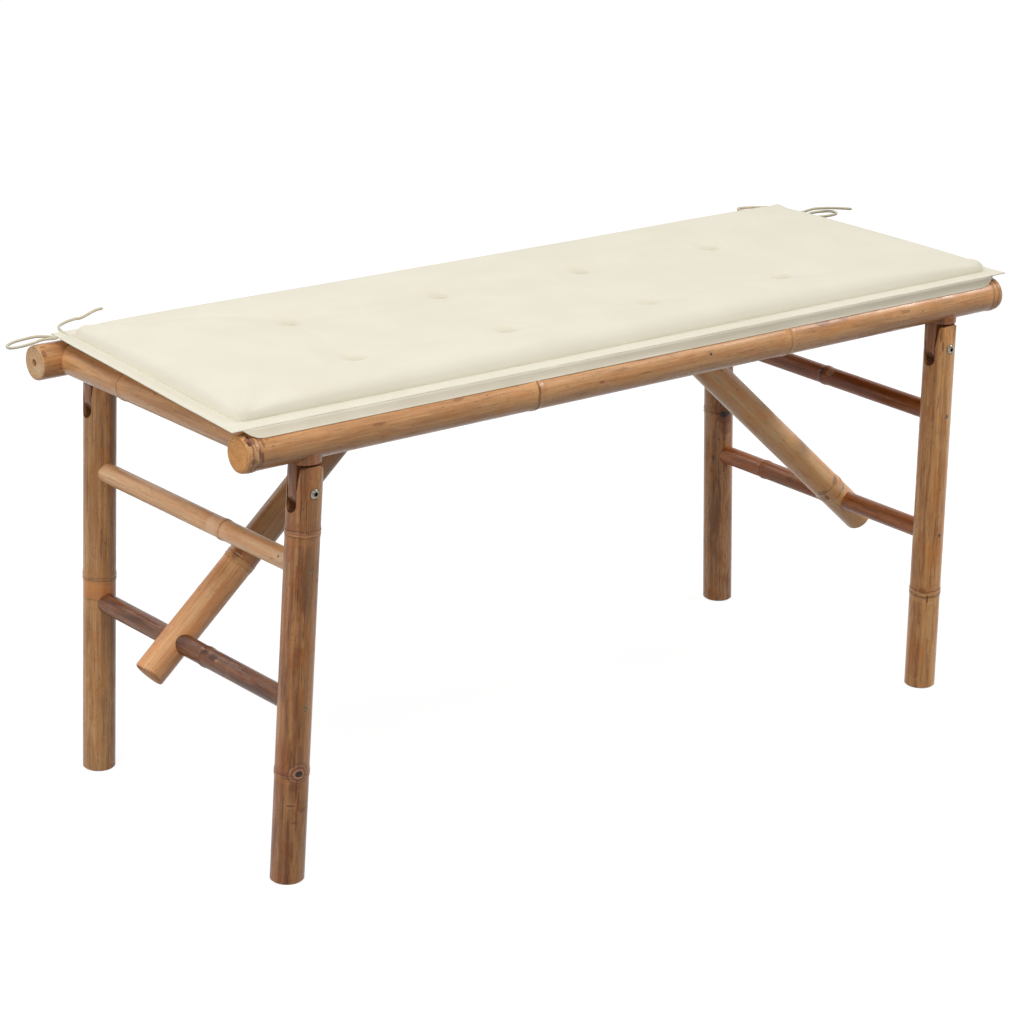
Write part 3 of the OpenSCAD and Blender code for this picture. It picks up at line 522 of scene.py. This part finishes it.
def fabric(name, cloth, strength, shaded_hollows=()):
    """Plain-woven cloth: two crossed sets of threads, slubs, a soft change of tone, and painted shade round
    the tufts.
    """
    light, dark, weave = cloth
    colour, shade = linear(*light), linear(*dark)
    made, tree = new_material(name)
    place = put(tree, "ShaderNodeTexCoord").outputs["Object"]
    soft = noise_at(tree, place, 14.0, 3.0)
    slub = noise_at(tree, place, 420.0, 2.0)
    threads = []
    for axis in ("X", "Y"):
        wave = put(tree, "ShaderNodeTexWave", {"Vector": place, "Scale": weave, "Distortion": 0.6,
                                               "Detail": 1.0, "Detail Scale": 2.0},
                   bands_direction=axis)
        threads.append(wave.outputs["Fac"])
    woven = calc(tree, "MAXIMUM", *threads)
    tone = rise(tree, soft, 0.35, 0.65)
    base = blend_colours(tree, tone, colour, shade)
    fleck = rise(tree, slub, 0.5, 0.75, 0.0, 0.5)
    base = blend_colours(tree, fleck, base, shade)
    # Painted shade: the cloth turns duller round each tuft, standing in for the shade in its dimple.
    for x, y in shaded_hollows:
        away = distance(tree, place, metres((x, y, 0)), (1, 1.3, 0))
        darker = rise(tree, away, 2 * MM, 15 * MM, 0.5, 0.0)
        base = blend_colours(tree, darker, base, linear(*HOLLOW_SHADE))
    height = calc(tree, "ADD", calc(tree, "MULTIPLY", woven, 0.7), slub)
    bump = put(tree, "ShaderNodeBump", {"Height": height, "Strength": strength, "Distance": 0.0003})
    rough = rise(tree, soft, 0.3, 0.7, 0.82, 0.92)
    woven_cloth = put(tree, "ShaderNodeBsdfPrincipled", {
        "Base Color": base, "Roughness": rough, "Normal": bump.outputs[0],
        "Sheen Weight": 0.08, "Sheen Roughness": 0.5, "Specular IOR Level": 0.2})
    put(tree, "ShaderNodeOutputMaterial", {"Surface": woven_cloth.outputs[0]})
    return made


# Cushion


def in_quad(quad, across, along):
    """The point of a four-sided outline at shares of its length and depth."""
    a, b, c, d = (Vector(p) for p in quad)
    front = a.lerp(b, across)
    back = d.lerp(c, across)
    return front.lerp(back, along)


def stations(length, fine, fine_steps, coarse):
    """Places from 0 to length, close together near both ends."""
    ends = [fine * (k / fine_steps) for k in range(fine_steps)]
    count = max(2, round((length - 2 * fine) / coarse))
    middle = [fine + (length - 2 * fine) * k / count for k in range(count + 1)]
    return ends + middle + [length - e for e in reversed(ends)]


def round_corner(x, y, length, depth, radius):
    """Moves a point of a rectangle so that the rectangle's corners become round."""
    ox = 1 if x > length / 2 else -1
    oy = 1 if y > depth / 2 else -1
    cx = length - radius if ox > 0 else radius
    cy = depth - radius if oy > 0 else radius
    a, b = (x - cx) * ox / radius, (y - cy) * oy / radius
    if a <= 0 or b <= 0:
        return x, y
    return cx + ox * radius * a * math.sqrt(1 - b * b / 2), cy + oy * radius * b * math.sqrt(1 - a * a / 2)


def depth_inside(x, y, length, depth, radius):
    """Distance from a round-cornered rectangle's edge, 0 on it and growing inward."""
    a = abs(x - length / 2) - (length / 2 - radius)
    b = abs(y - depth / 2) - (depth / 2 - radius)
    outside = math.hypot(max(a, 0), max(b, 0))
    return radius - outside - min(max(a, b), 0)


def tuft_dip(x, y, deep, radius):
    """How deep the cloth is drawn down at a point by the nearest tuft."""
    away = min(math.hypot(x - tx, y - ty) for tx, ty in TUFTS)
    return deep * math.exp(-(away / radius) ** 2)


def swell(piece, pinned):
    """Fills a closed skin with air, holding the pinned points, and keeps the result up to a limit."""
    scene = bpy.context.scene
    group = piece.vertex_groups.new(name="held")
    group.add(pinned, 1.0, "REPLACE")
    cloth = piece.modifiers.new("swell", "CLOTH")
    for key, value in SWELL_SETTINGS.items():
        setattr(cloth.settings, key, value)
    cloth.settings.vertex_group_mass = group.name
    cloth.settings.effector_weights.gravity = 0
    for step in range(1, SWELL_FRAMES + 1):
        scene.frame_set(step)
    swollen = piece.evaluated_get(bpy.context.evaluated_depsgraph_get()).data
    moved = [(s.co - v.co) for s, v in zip(swollen.vertices, piece.data.vertices)]
    piece.modifiers.remove(cloth)
    piece.vertex_groups.remove(group)
    scene.frame_set(1)
    limit = SWELL_LIMIT * MM
    for vertex, step in zip(piece.data.vertices, moved):
        if step.length > limit:
            step = step * (limit / step.length)
        vertex.co += step
    print("cushion swelled by at most", round(max(step.length for step in moved) / MM, 2), "mm")


def make_cushion_body(cloth):
    """The stuffed body: a closed skin sewn to the flange along its edge and drawn in at the tufts."""
    length = (Vector(BODY_QUAD[1]) - Vector(BODY_QUAD[0])).length
    depth = (Vector(BODY_QUAD[3]) - Vector(BODY_QUAD[0])).length
    xs = stations(length, BODY_CORNER, CORNER_STEPS, BODY_CELL)
    ys = stations(depth, BODY_CORNER, CORNER_STEPS, BODY_CELL)
    points = []
    for side in (1, -1):
        for x in xs:
            for y in ys:
                rx, ry = round_corner(x, y, length, depth, BODY_CORNER)
                spot = in_quad(BODY_QUAD, rx / length, ry / depth)
                inside = max(depth_inside(rx, ry, length, depth, BODY_CORNER), 0)
                share = min(inside / BODY_SHOULDER, 1)
                full = math.sqrt(1 - (1 - share) ** 2)
                if side > 0:
                    z = SEAM_Z + BODY_RISE * full - tuft_dip(spot.x, spot.y, HOLLOW_DEPTH, HOLLOW_RADIUS)
                else:
                    z = SEAM_Z - (SEAM_Z - CUSHION_LOW) * full
                points.append(metres((spot.x, spot.y, z)))
    rows, columns = len(xs), len(ys)
    low = rows * columns
    faces = []
    for i in range(rows - 1):
        for j in range(columns - 1):
            a, b = i * columns + j, (i + 1) * columns + j
            faces.append((a, b, b + 1, a + 1))
            faces.append((low + a, low + a + 1, low + b + 1, low + b))
    skin = new_object("cushion_body", points, faces)
    weld_rim(skin)
    swell(skin, still(skin))
    refine(skin)
    press_tufts(skin)
    subdivide(skin)
    skin.data.materials.append(cloth)
    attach(skin, "seat")
    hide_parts("seat_cushion")
    return skin


def weld_rim(skin):
    """Joins the top and the underside where they meet along the seam."""
    work = bmesh.new()
    work.from_mesh(skin.data)
    bmesh.ops.remove_doubles(work, verts=work.verts, dist=0.05 * MM)
    work.to_mesh(skin.data)
    work.free()
    skin.data.polygons.foreach_set("use_smooth", [True] * len(skin.data.polygons))


def subdivide(piece):
    """A modifier that subdivides a piece once."""
    finer = piece.modifiers.new("finer", "SUBSURF")
    finer.levels = finer.render_levels = 1
    return finer


def refine(piece):
    """Puts one subdivision into a piece's mesh."""
    finer = subdivide(piece)
    piece.data = bpy.data.meshes.new_from_object(piece.evaluated_get(bpy.context.evaluated_depsgraph_get()))
    piece.modifiers.remove(finer)


def press_tufts(skin):
    """Presses the dimples of the tufts into the top of the cushion."""
    for vertex in skin.data.vertices:
        x, y, z = vertex.co / MM
        if z > FLANGE_TOP + 3:
            vertex.co.z -= MM * tuft_dip(x, y, TUFT_DEPTH, TUFT_RADIUS)


def make_stitches(skin, thread):
    """A short stitch of thread at the bottom of each tuft."""
    for k, (tx, ty) in enumerate(TUFTS):
        spots = ((v.co.x / MM, v.co.y / MM, v.co.z / MM) for v in skin.data.vertices)
        low = min(z for x, y, z in spots if z > FLANGE_TOP and math.hypot(x - tx, y - ty) < STITCH_SEEK)
        line = [metres((tx + STITCH_HALF * u, ty + STITCH_SKEW * u, low + h)) for u, h in STITCH_ARCH]
        stitch = tube("tuft_stitch_%d" % (k + 1), line, STITCH_R * MM, sides=10)
        stitch.data.materials.append(thread)
        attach(stitch, "seat")
        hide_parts("seat_cushion")


def still(skin):
    """The points that the stuffing doesn't move: the seam, the underside and the tufts."""
    held = []
    for vertex in skin.data.vertices:
        x, y, z = vertex.co / MM
        away = min(math.hypot(x - tx, y - ty) for tx, ty in TUFTS)
        if z < FLANGE_TOP + 0.2 or away < TUFT_RADIUS:
            held.append(vertex.index)
    return held


def flange_wave(x, y):
    """Small waves in the flange, as cloth that isn't stretched has."""
    broad = noise.noise(Vector((x / 60, y / 60, 3.1)))
    return 0.5 * broad + 0.2 * noise.noise(Vector((x / 17, y / 17, 8.7)))


def make_flange(cloth):
    """The flat double hem round the body, with a folded outer edge."""
    outer = [Vector(p) for p in FLANGE_QUAD]
    inner = [Vector(p) for p in BODY_QUAD]
    middle = sum(inner, Vector((0, 0))) / 4
    inner = [middle + (p - middle) * FLANGE_TUCK for p in inner]
    half = (FLANGE_TOP - FLANGE_BOTTOM) / 2
    level = (FLANGE_TOP + FLANGE_BOTTOM) / 2
    section = ((0.0, half), (0.35, half), (0.7, half), (0.93, half), (0.985, 0.7 * half), (1.0, 0.0),
               (0.985, -0.7 * half), (0.93, -half), (0.5, -half), (0.0, -half))
    points, faces = [], []
    for k in range(4):
        steps = max(8, round((outer[(k + 1) % 4] - outer[k]).length / FLANGE_CELL))
        for s in range(steps):
            u = s / steps
            out = outer[k].lerp(outer[(k + 1) % 4], u)
            into = inner[k].lerp(inner[(k + 1) % 4], u)
            for share, lift in section:
                spot = into.lerp(out, share)
                wave = flange_wave(spot.x, spot.y) * share
                points.append(metres((spot.x, spot.y, level + lift + wave)))
    wide = len(section)
    rings = len(points) // wide
    for r in range(rings):
        a, b = r * wide, ((r + 1) % rings) * wide
        for s in range(wide):
            t = (s + 1) % wide
            faces.append((a + s, a + t, b + t, b + s))
    hem = new_object("cushion_flange", points, faces)
    hem.data.materials.append(cloth)
    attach(hem, "seat")
    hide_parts("seat_cushion")


def make_strip(cloth):
    """The strip of cloth that hangs from the front of the flange and lies on the front rail."""
    steps, rows = STRIP_STEPS, STRIP_ROWS
    a, b = Vector(FLANGE_QUAD[0]), Vector(FLANGE_QUAD[1])
    sheets = []
    for layer in (STRIP_THICK, 0.0):
        points = []
        for s in range(steps + 1):
            u = s / steps
            x = STRIP_LEFT + (STRIP_RIGHT - STRIP_LEFT) * u
            edge = a.lerp(b, (x - a.x) / (b.x - a.x))
            turn = math.radians(STRIP_TURN_LEFT + (STRIP_TURN_RIGHT - STRIP_TURN_LEFT) * u)
            full = min(1.0, (x - STRIP_LEFT) / 17 + 0.02, math.sqrt(max(0.0, (STRIP_RIGHT - x) / 15)) + 0.02)
            for r in range(rows + 1):
                v = full * r / rows
                reach = RAIL_R + STRIP_GAP + STRIP_LIFT * layer
                foot = Vector((-RAIL_Y - reach * math.sin(turn), RAIL_Z + reach * math.cos(turn)))
                bend = foot + Vector((math.cos(turn), math.sin(turn))) * STRIP_BEND
                head = Vector((edge.y + 1.2 - layer, FLANGE_BOTTOM + 0.9))
                spot = head.lerp(bend, v).lerp(bend.lerp(foot, v), v)
                ripple = 0.35 * noise.noise(Vector((x / 45, v, 1.7))) * v * (1 - v) * 4
                points.append(metres((x, spot.x - ripple, spot.y)))
        sheets.append(points)
    points = sheets[0] + sheets[1]
    low = len(sheets[0])
    faces = []
    wide = rows + 1
    for s in range(steps):
        for r in range(rows):
            p, q = s * wide + r, (s + 1) * wide + r
            faces.append((p, p + 1, q + 1, q))
            faces.append((low + p, low + q, low + q + 1, low + p + 1))
        p, q = s * wide, (s + 1) * wide
        faces.append((p + rows, low + p + rows, low + q + rows, q + rows))
        faces.append((p, q, low + q, low + p))
    for p in (0, steps * wide):
        for r in range(rows):
            faces.append((p + r, low + p + r, low + p + r + 1, p + r + 1))
    strip = new_object("cushion_strip", points, faces)
    strip.data.materials.append(cloth)
    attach(strip, "seat")
    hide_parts("seat_cushion")


# Bamboo


def tone_stops(length, rings, tones):
    """Stops of a ramp along a culm: a tone between each two nodes, a little lighter beside them."""
    stops = [(0.0, tones[0])]
    for k, ring in enumerate(rings):
        below, above = tones[k], tones[k + 1]
        for offset, tone in ((-NODE_FAR, below), (-NODE_NEAR, below * NODE_BELOW),
                             (NODE_NEAR, above * NODE_ABOVE), (NODE_FAR, above)):
            stops.append(((ring[0] + offset) / length, tone))
    stops.append((1.0, tones[-1]))
    return sorted(((min(max(p, 0.0), 1.0), t) for p, t in stops), key=lambda stop: stop[0])


def fill_ramp(ramp, stops):
    """Sets a colour ramp's stops to greys."""
    while len(ramp.elements) > 1:
        ramp.elements.remove(ramp.elements[-1])
    for k, (place, tone) in enumerate(stops):
        element = ramp.elements[0] if k == 0 else ramp.elements.new(place)
        element.position = place
        element.color = (tone, tone, tone, 1)


def near(tree, value, reach, soft):
    """1 where a value is within reach of 0, fading out over the soft width."""
    return rise(tree, calc(tree, "ABSOLUTE", value), reach - soft / 2, reach + soft / 2, 1.0, 0.0)


def tint(tree, colour, share, strength, painted):
    """A colour with paint of 0 to 255 over it, as far as the share and the strength say."""
    return blend_colours(tree, calc(tree, "MULTIPLY", share, strength), colour, linear(*painted))


def shaded(colour, share):
    """A colour with all its parts scaled."""
    return [share * part for part in colour]


def spread(tree, value, amount):
    """A noise as a number about 0."""
    return calc(tree, "MULTIPLY", calc(tree, "SUBTRACT", value, 0.5), amount)


class Culm:
    """A bamboo material while it is made: its tree, its own directions and its noises.

    Local X runs along the fibres from the culm's start, and Y and Z run across them.
    """

    def __init__(self, name, start, end, seed):
        self.made, self.tree = new_material(name)
        self.seed = seed
        axis = Vector(end) - Vector(start)
        self.length = axis.length
        self.axis = axis.normalized()
        across = self.axis.cross(Vector((0.31, 0.17, 0.93))).normalized()
        self.turn = Matrix((self.axis, across, self.axis.cross(across)))
        self.shift = self.turn @ metres(start)
        coordinates = put(self.tree, "ShaderNodeTexCoord")
        self.normal = coordinates.outputs["Normal"]
        self.local = put(self.tree, "ShaderNodeMapping", {
            "Vector": coordinates.outputs["Object"], "Location": -self.shift,
            "Rotation": self.turn.to_euler("XYZ")}).outputs[0]
        self.broad = self.noise(5, 130, 2.0)
        self.fine = self.noise(14, 560, 2.0, offset=3.0)
        self.hair = self.noise(50, 1700, 1.0, offset=5.0)
        self.clouds = self.noise(26, 60, 4.0, 0.65, offset=9.0, distort=0.8)
        self.patches = self.noise(11, 85, 3.0, 0.6, offset=11.0, distort=0.5)
        self.flecks = self.noise(120, 330, 3.0, 0.7, offset=13.0, distort=0.4)
        self.strokes = self.noise(26, 420, 3.0, 0.6, offset=15.0, distort=0.3)
        self.ticks = self.noise(190, 760, 1.0, offset=19.0)
        self.pores = self.noise(40, 1100, 2.0, offset=21.0)
        split = put(self.tree, "ShaderNodeSeparateXYZ", {0: self.local})
        uneven = spread(self.tree, self.noise(3, 75, 3.0, 0.6, offset=23.0), 0.007)
        self.along = calc(self.tree, "ADD", split.outputs[0], uneven)

    def noise(self, along_scale, across_scale, detail=3.0, rough=0.55, offset=0.0, distort=0.0):
        """A noise with its own scales along and across the fibres."""
        size = vector_node(self.tree, "MULTIPLY", self.local, (along_scale, across_scale, across_scale))
        return put(self.tree, "ShaderNodeTexNoise", {
            "Vector": size.outputs[0], "W": self.seed * 7.3 + offset, "Scale": 1.0, "Detail": detail,
            "Roughness": rough, "Distortion": distort}, noise_dimensions="4D").outputs["Fac"]


def paint_fibres(culm, light, dark, mottle):
    """The skin's colour: light and dark fibres, and clouds, patches, flecks and strokes over them."""
    tree = culm.tree
    grain = sum_of(tree, (culm.broad, 0.55), (culm.fine, 0.45))
    colour = blend_colours(tree, calc(tree, "MULTIPLY", rise(tree, grain, 0.38, 0.62), 0.75),
                           linear(*light), linear(*dark))
    rusty = [max(0.5 * (d + v) + c, 0) for d, v, c in zip(dark, light, (4, -16, -30))]
    pale = [min(1.03 * v, 255) for v in light]
    layers = (
        (culm.clouds, 0.47, 0.66, 0, 0.85 * mottle, rusty),
        (culm.patches, 0.50, 0.66, 0, 0.9 * mottle, shaded(dark, 0.94)),
        (culm.patches, 0.36, 0.46, 1, 0.4 * mottle, pale),
        (culm.flecks, 0.58, 0.72, 0, 0.8 * mottle, shaded(dark, 0.9)),
        (culm.strokes, 0.57, 0.66, 0, 0.75 * mottle, shaded(dark, 0.66)),
        (culm.ticks, 0.67, 0.75, 0, 0.7, shaded(dark, 0.6)),
        (culm.hair, 0.56, 0.74, 0, 0.35, shaded(dark, 0.8)))
    for pattern, low, high, start, strength, painted in layers:
        colour = tint(tree, colour, rise(tree, pattern, low, high, start, 1 - start), strength, painted)
    return colour


def paint_stripes(culm, colour, stripes):
    """Stripes along the culm: the side each is on, its half width, its strength and its colour."""
    tree = culm.tree
    for side, wide, strength, painted in stripes:
        aim = culm.turn @ Vector(side).normalized()
        aim.x = 0
        sideways = Vector((1, 0, 0)).cross(aim)
        facing_it = vector_node(tree, "DOT_PRODUCT", culm.local, tuple(aim.normalized())).outputs["Value"]
        beside = vector_node(tree, "DOT_PRODUCT", culm.local, tuple(sideways)).outputs["Value"]
        beside = calc(tree, "ADD", beside, spread(tree, culm.patches, 0.012))
        share = calc(tree, "MULTIPLY", near(tree, beside, wide * MM, 1.2 * wide * MM),
                     calc(tree, "GREATER_THAN", facing_it, 0.0))
        share = calc(tree, "MULTIPLY", share, rise(tree, culm.clouds, 0.34, 0.56, 0.35, 1.0))
        colour = tint(tree, colour, share, strength, painted)
    return colour


def paint_tones(culm, colour, rings, tones, bands):
    """A tone between each two nodes, and soft rings of colour: place, half width, strength and colour."""
    tree = culm.tree
    ramp = put(tree, "ShaderNodeValToRGB", {0: calc(tree, "DIVIDE", culm.along, culm.length * MM)})
    fill_ramp(ramp.color_ramp, tone_stops(culm.length, rings, [t * TONE_SCALE for t in tones]))
    colour = blend_colours(tree, 1.0, colour, ramp.outputs[0], "MULTIPLY")
    colour = blend_colours(tree, 1.0, colour, (TONE_BACK, TONE_BACK, TONE_BACK, 1), "MULTIPLY")
    for at, half, strength, painted in bands:
        share = near(tree, calc(tree, "SUBTRACT", culm.along, at * MM), half * MM, 0.5 * half * MM)
        colour = tint(tree, colour, share, strength, painted)
    return colour


def paint_rings(culm, colour, rings, light, dark):
    """The colour with the nodes' dark lines on it, and the lines alone for the bump."""
    tree = culm.tree
    worn = rise(tree, culm.clouds, 0.36, 0.56, 0.55, 1.0)
    pale = [min(255, 1.04 * v) for v in light]
    lines = 0.0
    for at, half, strength in rings:
        gap = calc(tree, "SUBTRACT", culm.along, at * MM)
        below = near(tree, calc(tree, "ADD", gap, 0.0045), 0.003, 0.003)
        above = near(tree, calc(tree, "SUBTRACT", gap, 0.005), 0.004, 0.004)
        colour = tint(tree, colour, below, 0.40 * strength, pale)
        colour = tint(tree, colour, above, 0.45 * strength, dark)
        line = calc(tree, "MULTIPLY", near(tree, gap, half * MM, 0.0012), strength)
        lines = calc(tree, "MAXIMUM", lines, calc(tree, "MULTIPLY", line, worn))
    return tint(tree, colour, lines, 0.9, LINE), lines


def paint_marks(culm, colour, marks):
    """Spots: the place of each, its radius along and across the culm, its strength and its colour."""
    tree = culm.tree
    for place, long_radius, wide_radius, strength, painted in marks:
        shrink = (1 / (long_radius * MM), 1 / (wide_radius * MM), 1 / (wide_radius * MM))
        away = distance(tree, culm.local, tuple(culm.turn @ metres(place) - culm.shift), shrink)
        ragged = calc(tree, "ADD", spread(tree, culm.flecks, 0.7), spread(tree, culm.clouds, 0.7))
        away = calc(tree, "ADD", away, ragged)
        colour = tint(tree, colour, rise(tree, away, 0.8, 1.08, 1.0, 0.0), strength, painted)
    return colour


def cut_wood(culm, radius, cut, skin_deep):
    """The colour of cut wood, and a share that is 1 on the skin and 0 on cut ends and below the skin."""
    tree = culm.tree
    flat = vector_node(tree, "MULTIPLY", culm.local, (0, 1, 1))
    reach = vector_node(tree, "LENGTH", flat.outputs[0]).outputs["Value"]
    skin = rise(tree, reach, (radius - skin_deep) * MM, (radius - skin_deep + 1) * MM)
    facing = vector_node(tree, "DOT_PRODUCT", culm.normal, tuple(culm.axis)).outputs["Value"]
    butt = rise(tree, calc(tree, "ABSOLUTE", facing), 0.75, 0.95)
    skin = calc(tree, "MULTIPLY", skin, calc(tree, "SUBTRACT", 1.0, butt))
    wood = blend_colours(tree, rise(tree, culm.pores, 0.42, 0.66), linear(*cut), linear(*shaded(cut, 0.78)))
    warmer = [c * k for c, k in zip(cut, (0.86, 0.74, 0.6))]
    wood = tint(tree, wood, rise(tree, culm.clouds, 0.45, 0.65), 0.4, warmer)
    rim = near(tree, calc(tree, "SUBTRACT", reach, (radius - 2.2) * MM), 0.0006, 0.0008)
    return tint(tree, wood, rim, 0.45, shaded(cut, 0.55)), skin


def bamboo(node, start, end, radius, tints, rings=(), tones=None, cut=RAIL_CUT, mottle=0.5,
           bands=(), marks=(), stripes=(), skin_deep=1.5, seed=0.0):
    """Gives a node lacquered bamboo whose fibres run from start to end, with its two fibre colours.

    Each ring is a joint of the culm: its distance from the start, the half width of its dark line, and
    how dark it is. Bands, marks and stripes are told of in the functions that paint them. Below
    skin_deep the wood shows.
    """
    culm = Culm(node, start, end, seed)
    tree = culm.tree
    colour = paint_fibres(culm, *tints, mottle)
    colour = paint_stripes(culm, colour, stripes)
    colour = paint_tones(culm, colour, rings, tones or [1.0] * (len(rings) + 1), bands)
    colour, lines = paint_rings(culm, colour, rings, *tints)
    colour = paint_marks(culm, colour, marks)
    wood, skin = cut_wood(culm, radius, cut, skin_deep)
    colour = blend_colours(tree, skin, wood, colour)

    rough = rise(tree, culm.clouds, 0.3, 0.7, 0.24, 0.40)
    rough = calc(tree, "ADD", rough, rise(tree, skin, 0.0, 1.0, 0.3, 0.0))
    height = sum_of(tree, (culm.fine, 0.5), (culm.hair, 0.5), (culm.flecks, 0.8 * mottle), (lines, -1.5))
    bump = put(tree, "ShaderNodeBump", {"Height": height, "Strength": 0.4, "Distance": 0.0004})
    lacquer = put(tree, "ShaderNodeBsdfPrincipled", {
        "Base Color": colour, "Roughness": rough, "Normal": bump.outputs[0],
        "Specular IOR Level": 0.32, "Coat Weight": 0.06, "Coat Roughness": 0.12})
    put(tree, "ShaderNodeOutputMaterial", {"Surface": lacquer.outputs[0]})
    dress(node, culm.made)


def dress_seat():
    """The long and side rails, the bars and slats under the cushion, and the dowels."""
    for node, (y, rings, tones, cut, marks) in RAILS.items():
        bamboo(node, (-RAIL_HALF, y, RAIL_Z), (RAIL_HALF, y, RAIL_Z), RAIL_R, TAN, rings, tones,
               cut=cut, mottle=0.55, marks=marks, seed=1 if y < 0 else 2)
    for node, x, ring in (("left_side_rail", -SIDE_X, 238), ("right_side_rail", SIDE_X, 98)):
        bamboo(node, (x, -RAIL_Y, RAIL_Z), (x, RAIL_Y, RAIL_Z), SIDE_R, TAN, ((ring, 0.8, 0.5),),
               (0.97, 0.97), mottle=0.45, seed=3 if x < 0 else 4)
    for name, x in (("hook_bar", HOOK_X), ("end_bearer", BEARER_X)):
        for side, word in ((-1, "left"), (1, "right")):
            bamboo(word + "_" + name, (side * x, -RAIL_Y, BAR_Z), (side * x, RAIL_Y, BAR_Z), BAR_R, ROSY,
                   ((90, 0.8, 0.6),), seed=x + side)
    for k in range(5):
        y = (k - 2) * SLAT_PITCH
        rings = ((210 + 47 * k % 130, 1.0, 0.7), (560 + 31 * k % 90, 1.0, 0.7))
        bamboo("slat_%d" % (k + 1), (-SLAT_HALF, y, SLAT_AXIS_Z), (SLAT_HALF, y, SLAT_AXIS_Z), SLAT_R,
               WARM, rings, seed=20 + k)
    bamboo("corner_dowels", (0, -RAIL_Y, RAIL_Z), (0, RAIL_Y, RAIL_Z), DOWEL_R, BROWN, seed=70)


def dress_legs():
    """The four legs and the hinge posts above them."""
    for node, (sx, sy, rings, tones, tints, cut, mottle, bands, marks, stripes) in LEGS.items():
        x, y = sx * PIVOT_X, sy * RAIL_Y
        bamboo(node, (sx * FOOT_X, sy * FOOT_Y, 0), (x, y, PIVOT_Z), LEG_R, tints, rings, tones, cut=cut,
               mottle=mottle, bands=bands, marks=marks, stripes=stripes, skin_deep=3.6, seed=30 + 2 * sx + sy)
        bamboo(node.replace("leg", "post"), (x, y, POST_LOW), (x, y, RAIL_Z), POST_R, POST,
               cut=POST_CUT_SHADED, mottle=0.9, seed=40 + 2 * sx + sy)


def dress_bars():
    """The crossbars between the legs."""
    for node, (side, x, z, half, rings, tones, tints, mottle, bands, marks) in BARS.items():
        bamboo(node, (side * x, -half, z), (side * x, half, z), CROSS_R, tints, rings, tones,
               bands=bands, marks=marks, mottle=mottle, seed=50 + z / 10 + side)


def brace_ends(side):
    """The brace's axis, from its tail up towards the hook bar."""
    slope = math.radians(BRACE_SLOPE)
    way = Vector((-side * math.cos(slope), 0, math.sin(slope)))
    turn_at = Vector((side * LOWER_X, -side * BRACE_Y, LOWER_Z))
    return turn_at - way * BRACE_TAIL, turn_at + way * BRACE_REACH


def dress_braces():
    for node, (side, rings, tones, tints, bands, marks) in BRACES.items():
        tail, top = brace_ends(side)
        bamboo(node, tail, top, BRACE_R, tints, rings, tones, cut=BRACE_CUT,
               bands=bands, marks=marks, seed=60 + side)


# Steel


def steel(node, colour, rough, axes):
    """Gives a node zinc-plated steel, scratched, with painted shade in the sockets about the given axes."""
    made, tree = new_material(node)
    place = put(tree, "ShaderNodeTexCoord").outputs["Object"]
    worn = noise_at(tree, place, 300.0, 4.0)
    scratch = noise_at(tree, place, 1500.0, 2.0)
    base = blend_colours(tree, rise(tree, worn, 0.4, 0.7), linear(*colour), linear(*shaded(colour, 0.72)))
    # Painted shade inside each socket.
    for x, z in axes:
        away = distance(tree, place, metres((x, 0, z)), (1, 0, 1))
        inside = rise(tree, away, (SOCKET_R - 0.5) * MM, SOCKET_R * MM, 0.92, 0.0)
        base = blend_colours(tree, inside, base, linear(*SOCKET_SHADE))
    bump = put(tree, "ShaderNodeBump", {"Height": scratch, "Strength": 0.15, "Distance": 0.0001})
    uneven = rise(tree, worn, 0.3, 0.7, rough, rough + 0.15)
    metal = put(tree, "ShaderNodeBsdfPrincipled", {
        "Base Color": base, "Metallic": 1.0, "Roughness": uneven, "Normal": bump.outputs[0]})
    put(tree, "ShaderNodeOutputMaterial", {"Surface": metal.outputs[0]})
    dress(node, made)


def dress_steel():
    for node, (colour, rough, axes) in STEELS.items():
        steel(node, colour, rough, axes)


make_camera()
tie_cloth = fabric("tie_cloth", TIE_CLOTH, 0.5)
make_ties(tie_cloth)
cushion_cloth = fabric("cushion_cloth", CUSHION_CLOTH, 0.25, TUFTS)
cushion = make_cushion_body(cushion_cloth)
make_stitches(cushion, tie_cloth)
make_flange(cushion_cloth)
make_strip(fabric("strip_cloth_painted_light", STRIP_CLOTH_PAINTED_LIGHT, 0.25))
dress_seat()
dress_legs()
dress_bars()
dress_braces()
dress_steel()
make_floor()
make_world()
make_lamps()
bpy.context.scene.view_settings.view_transform = "Standard"
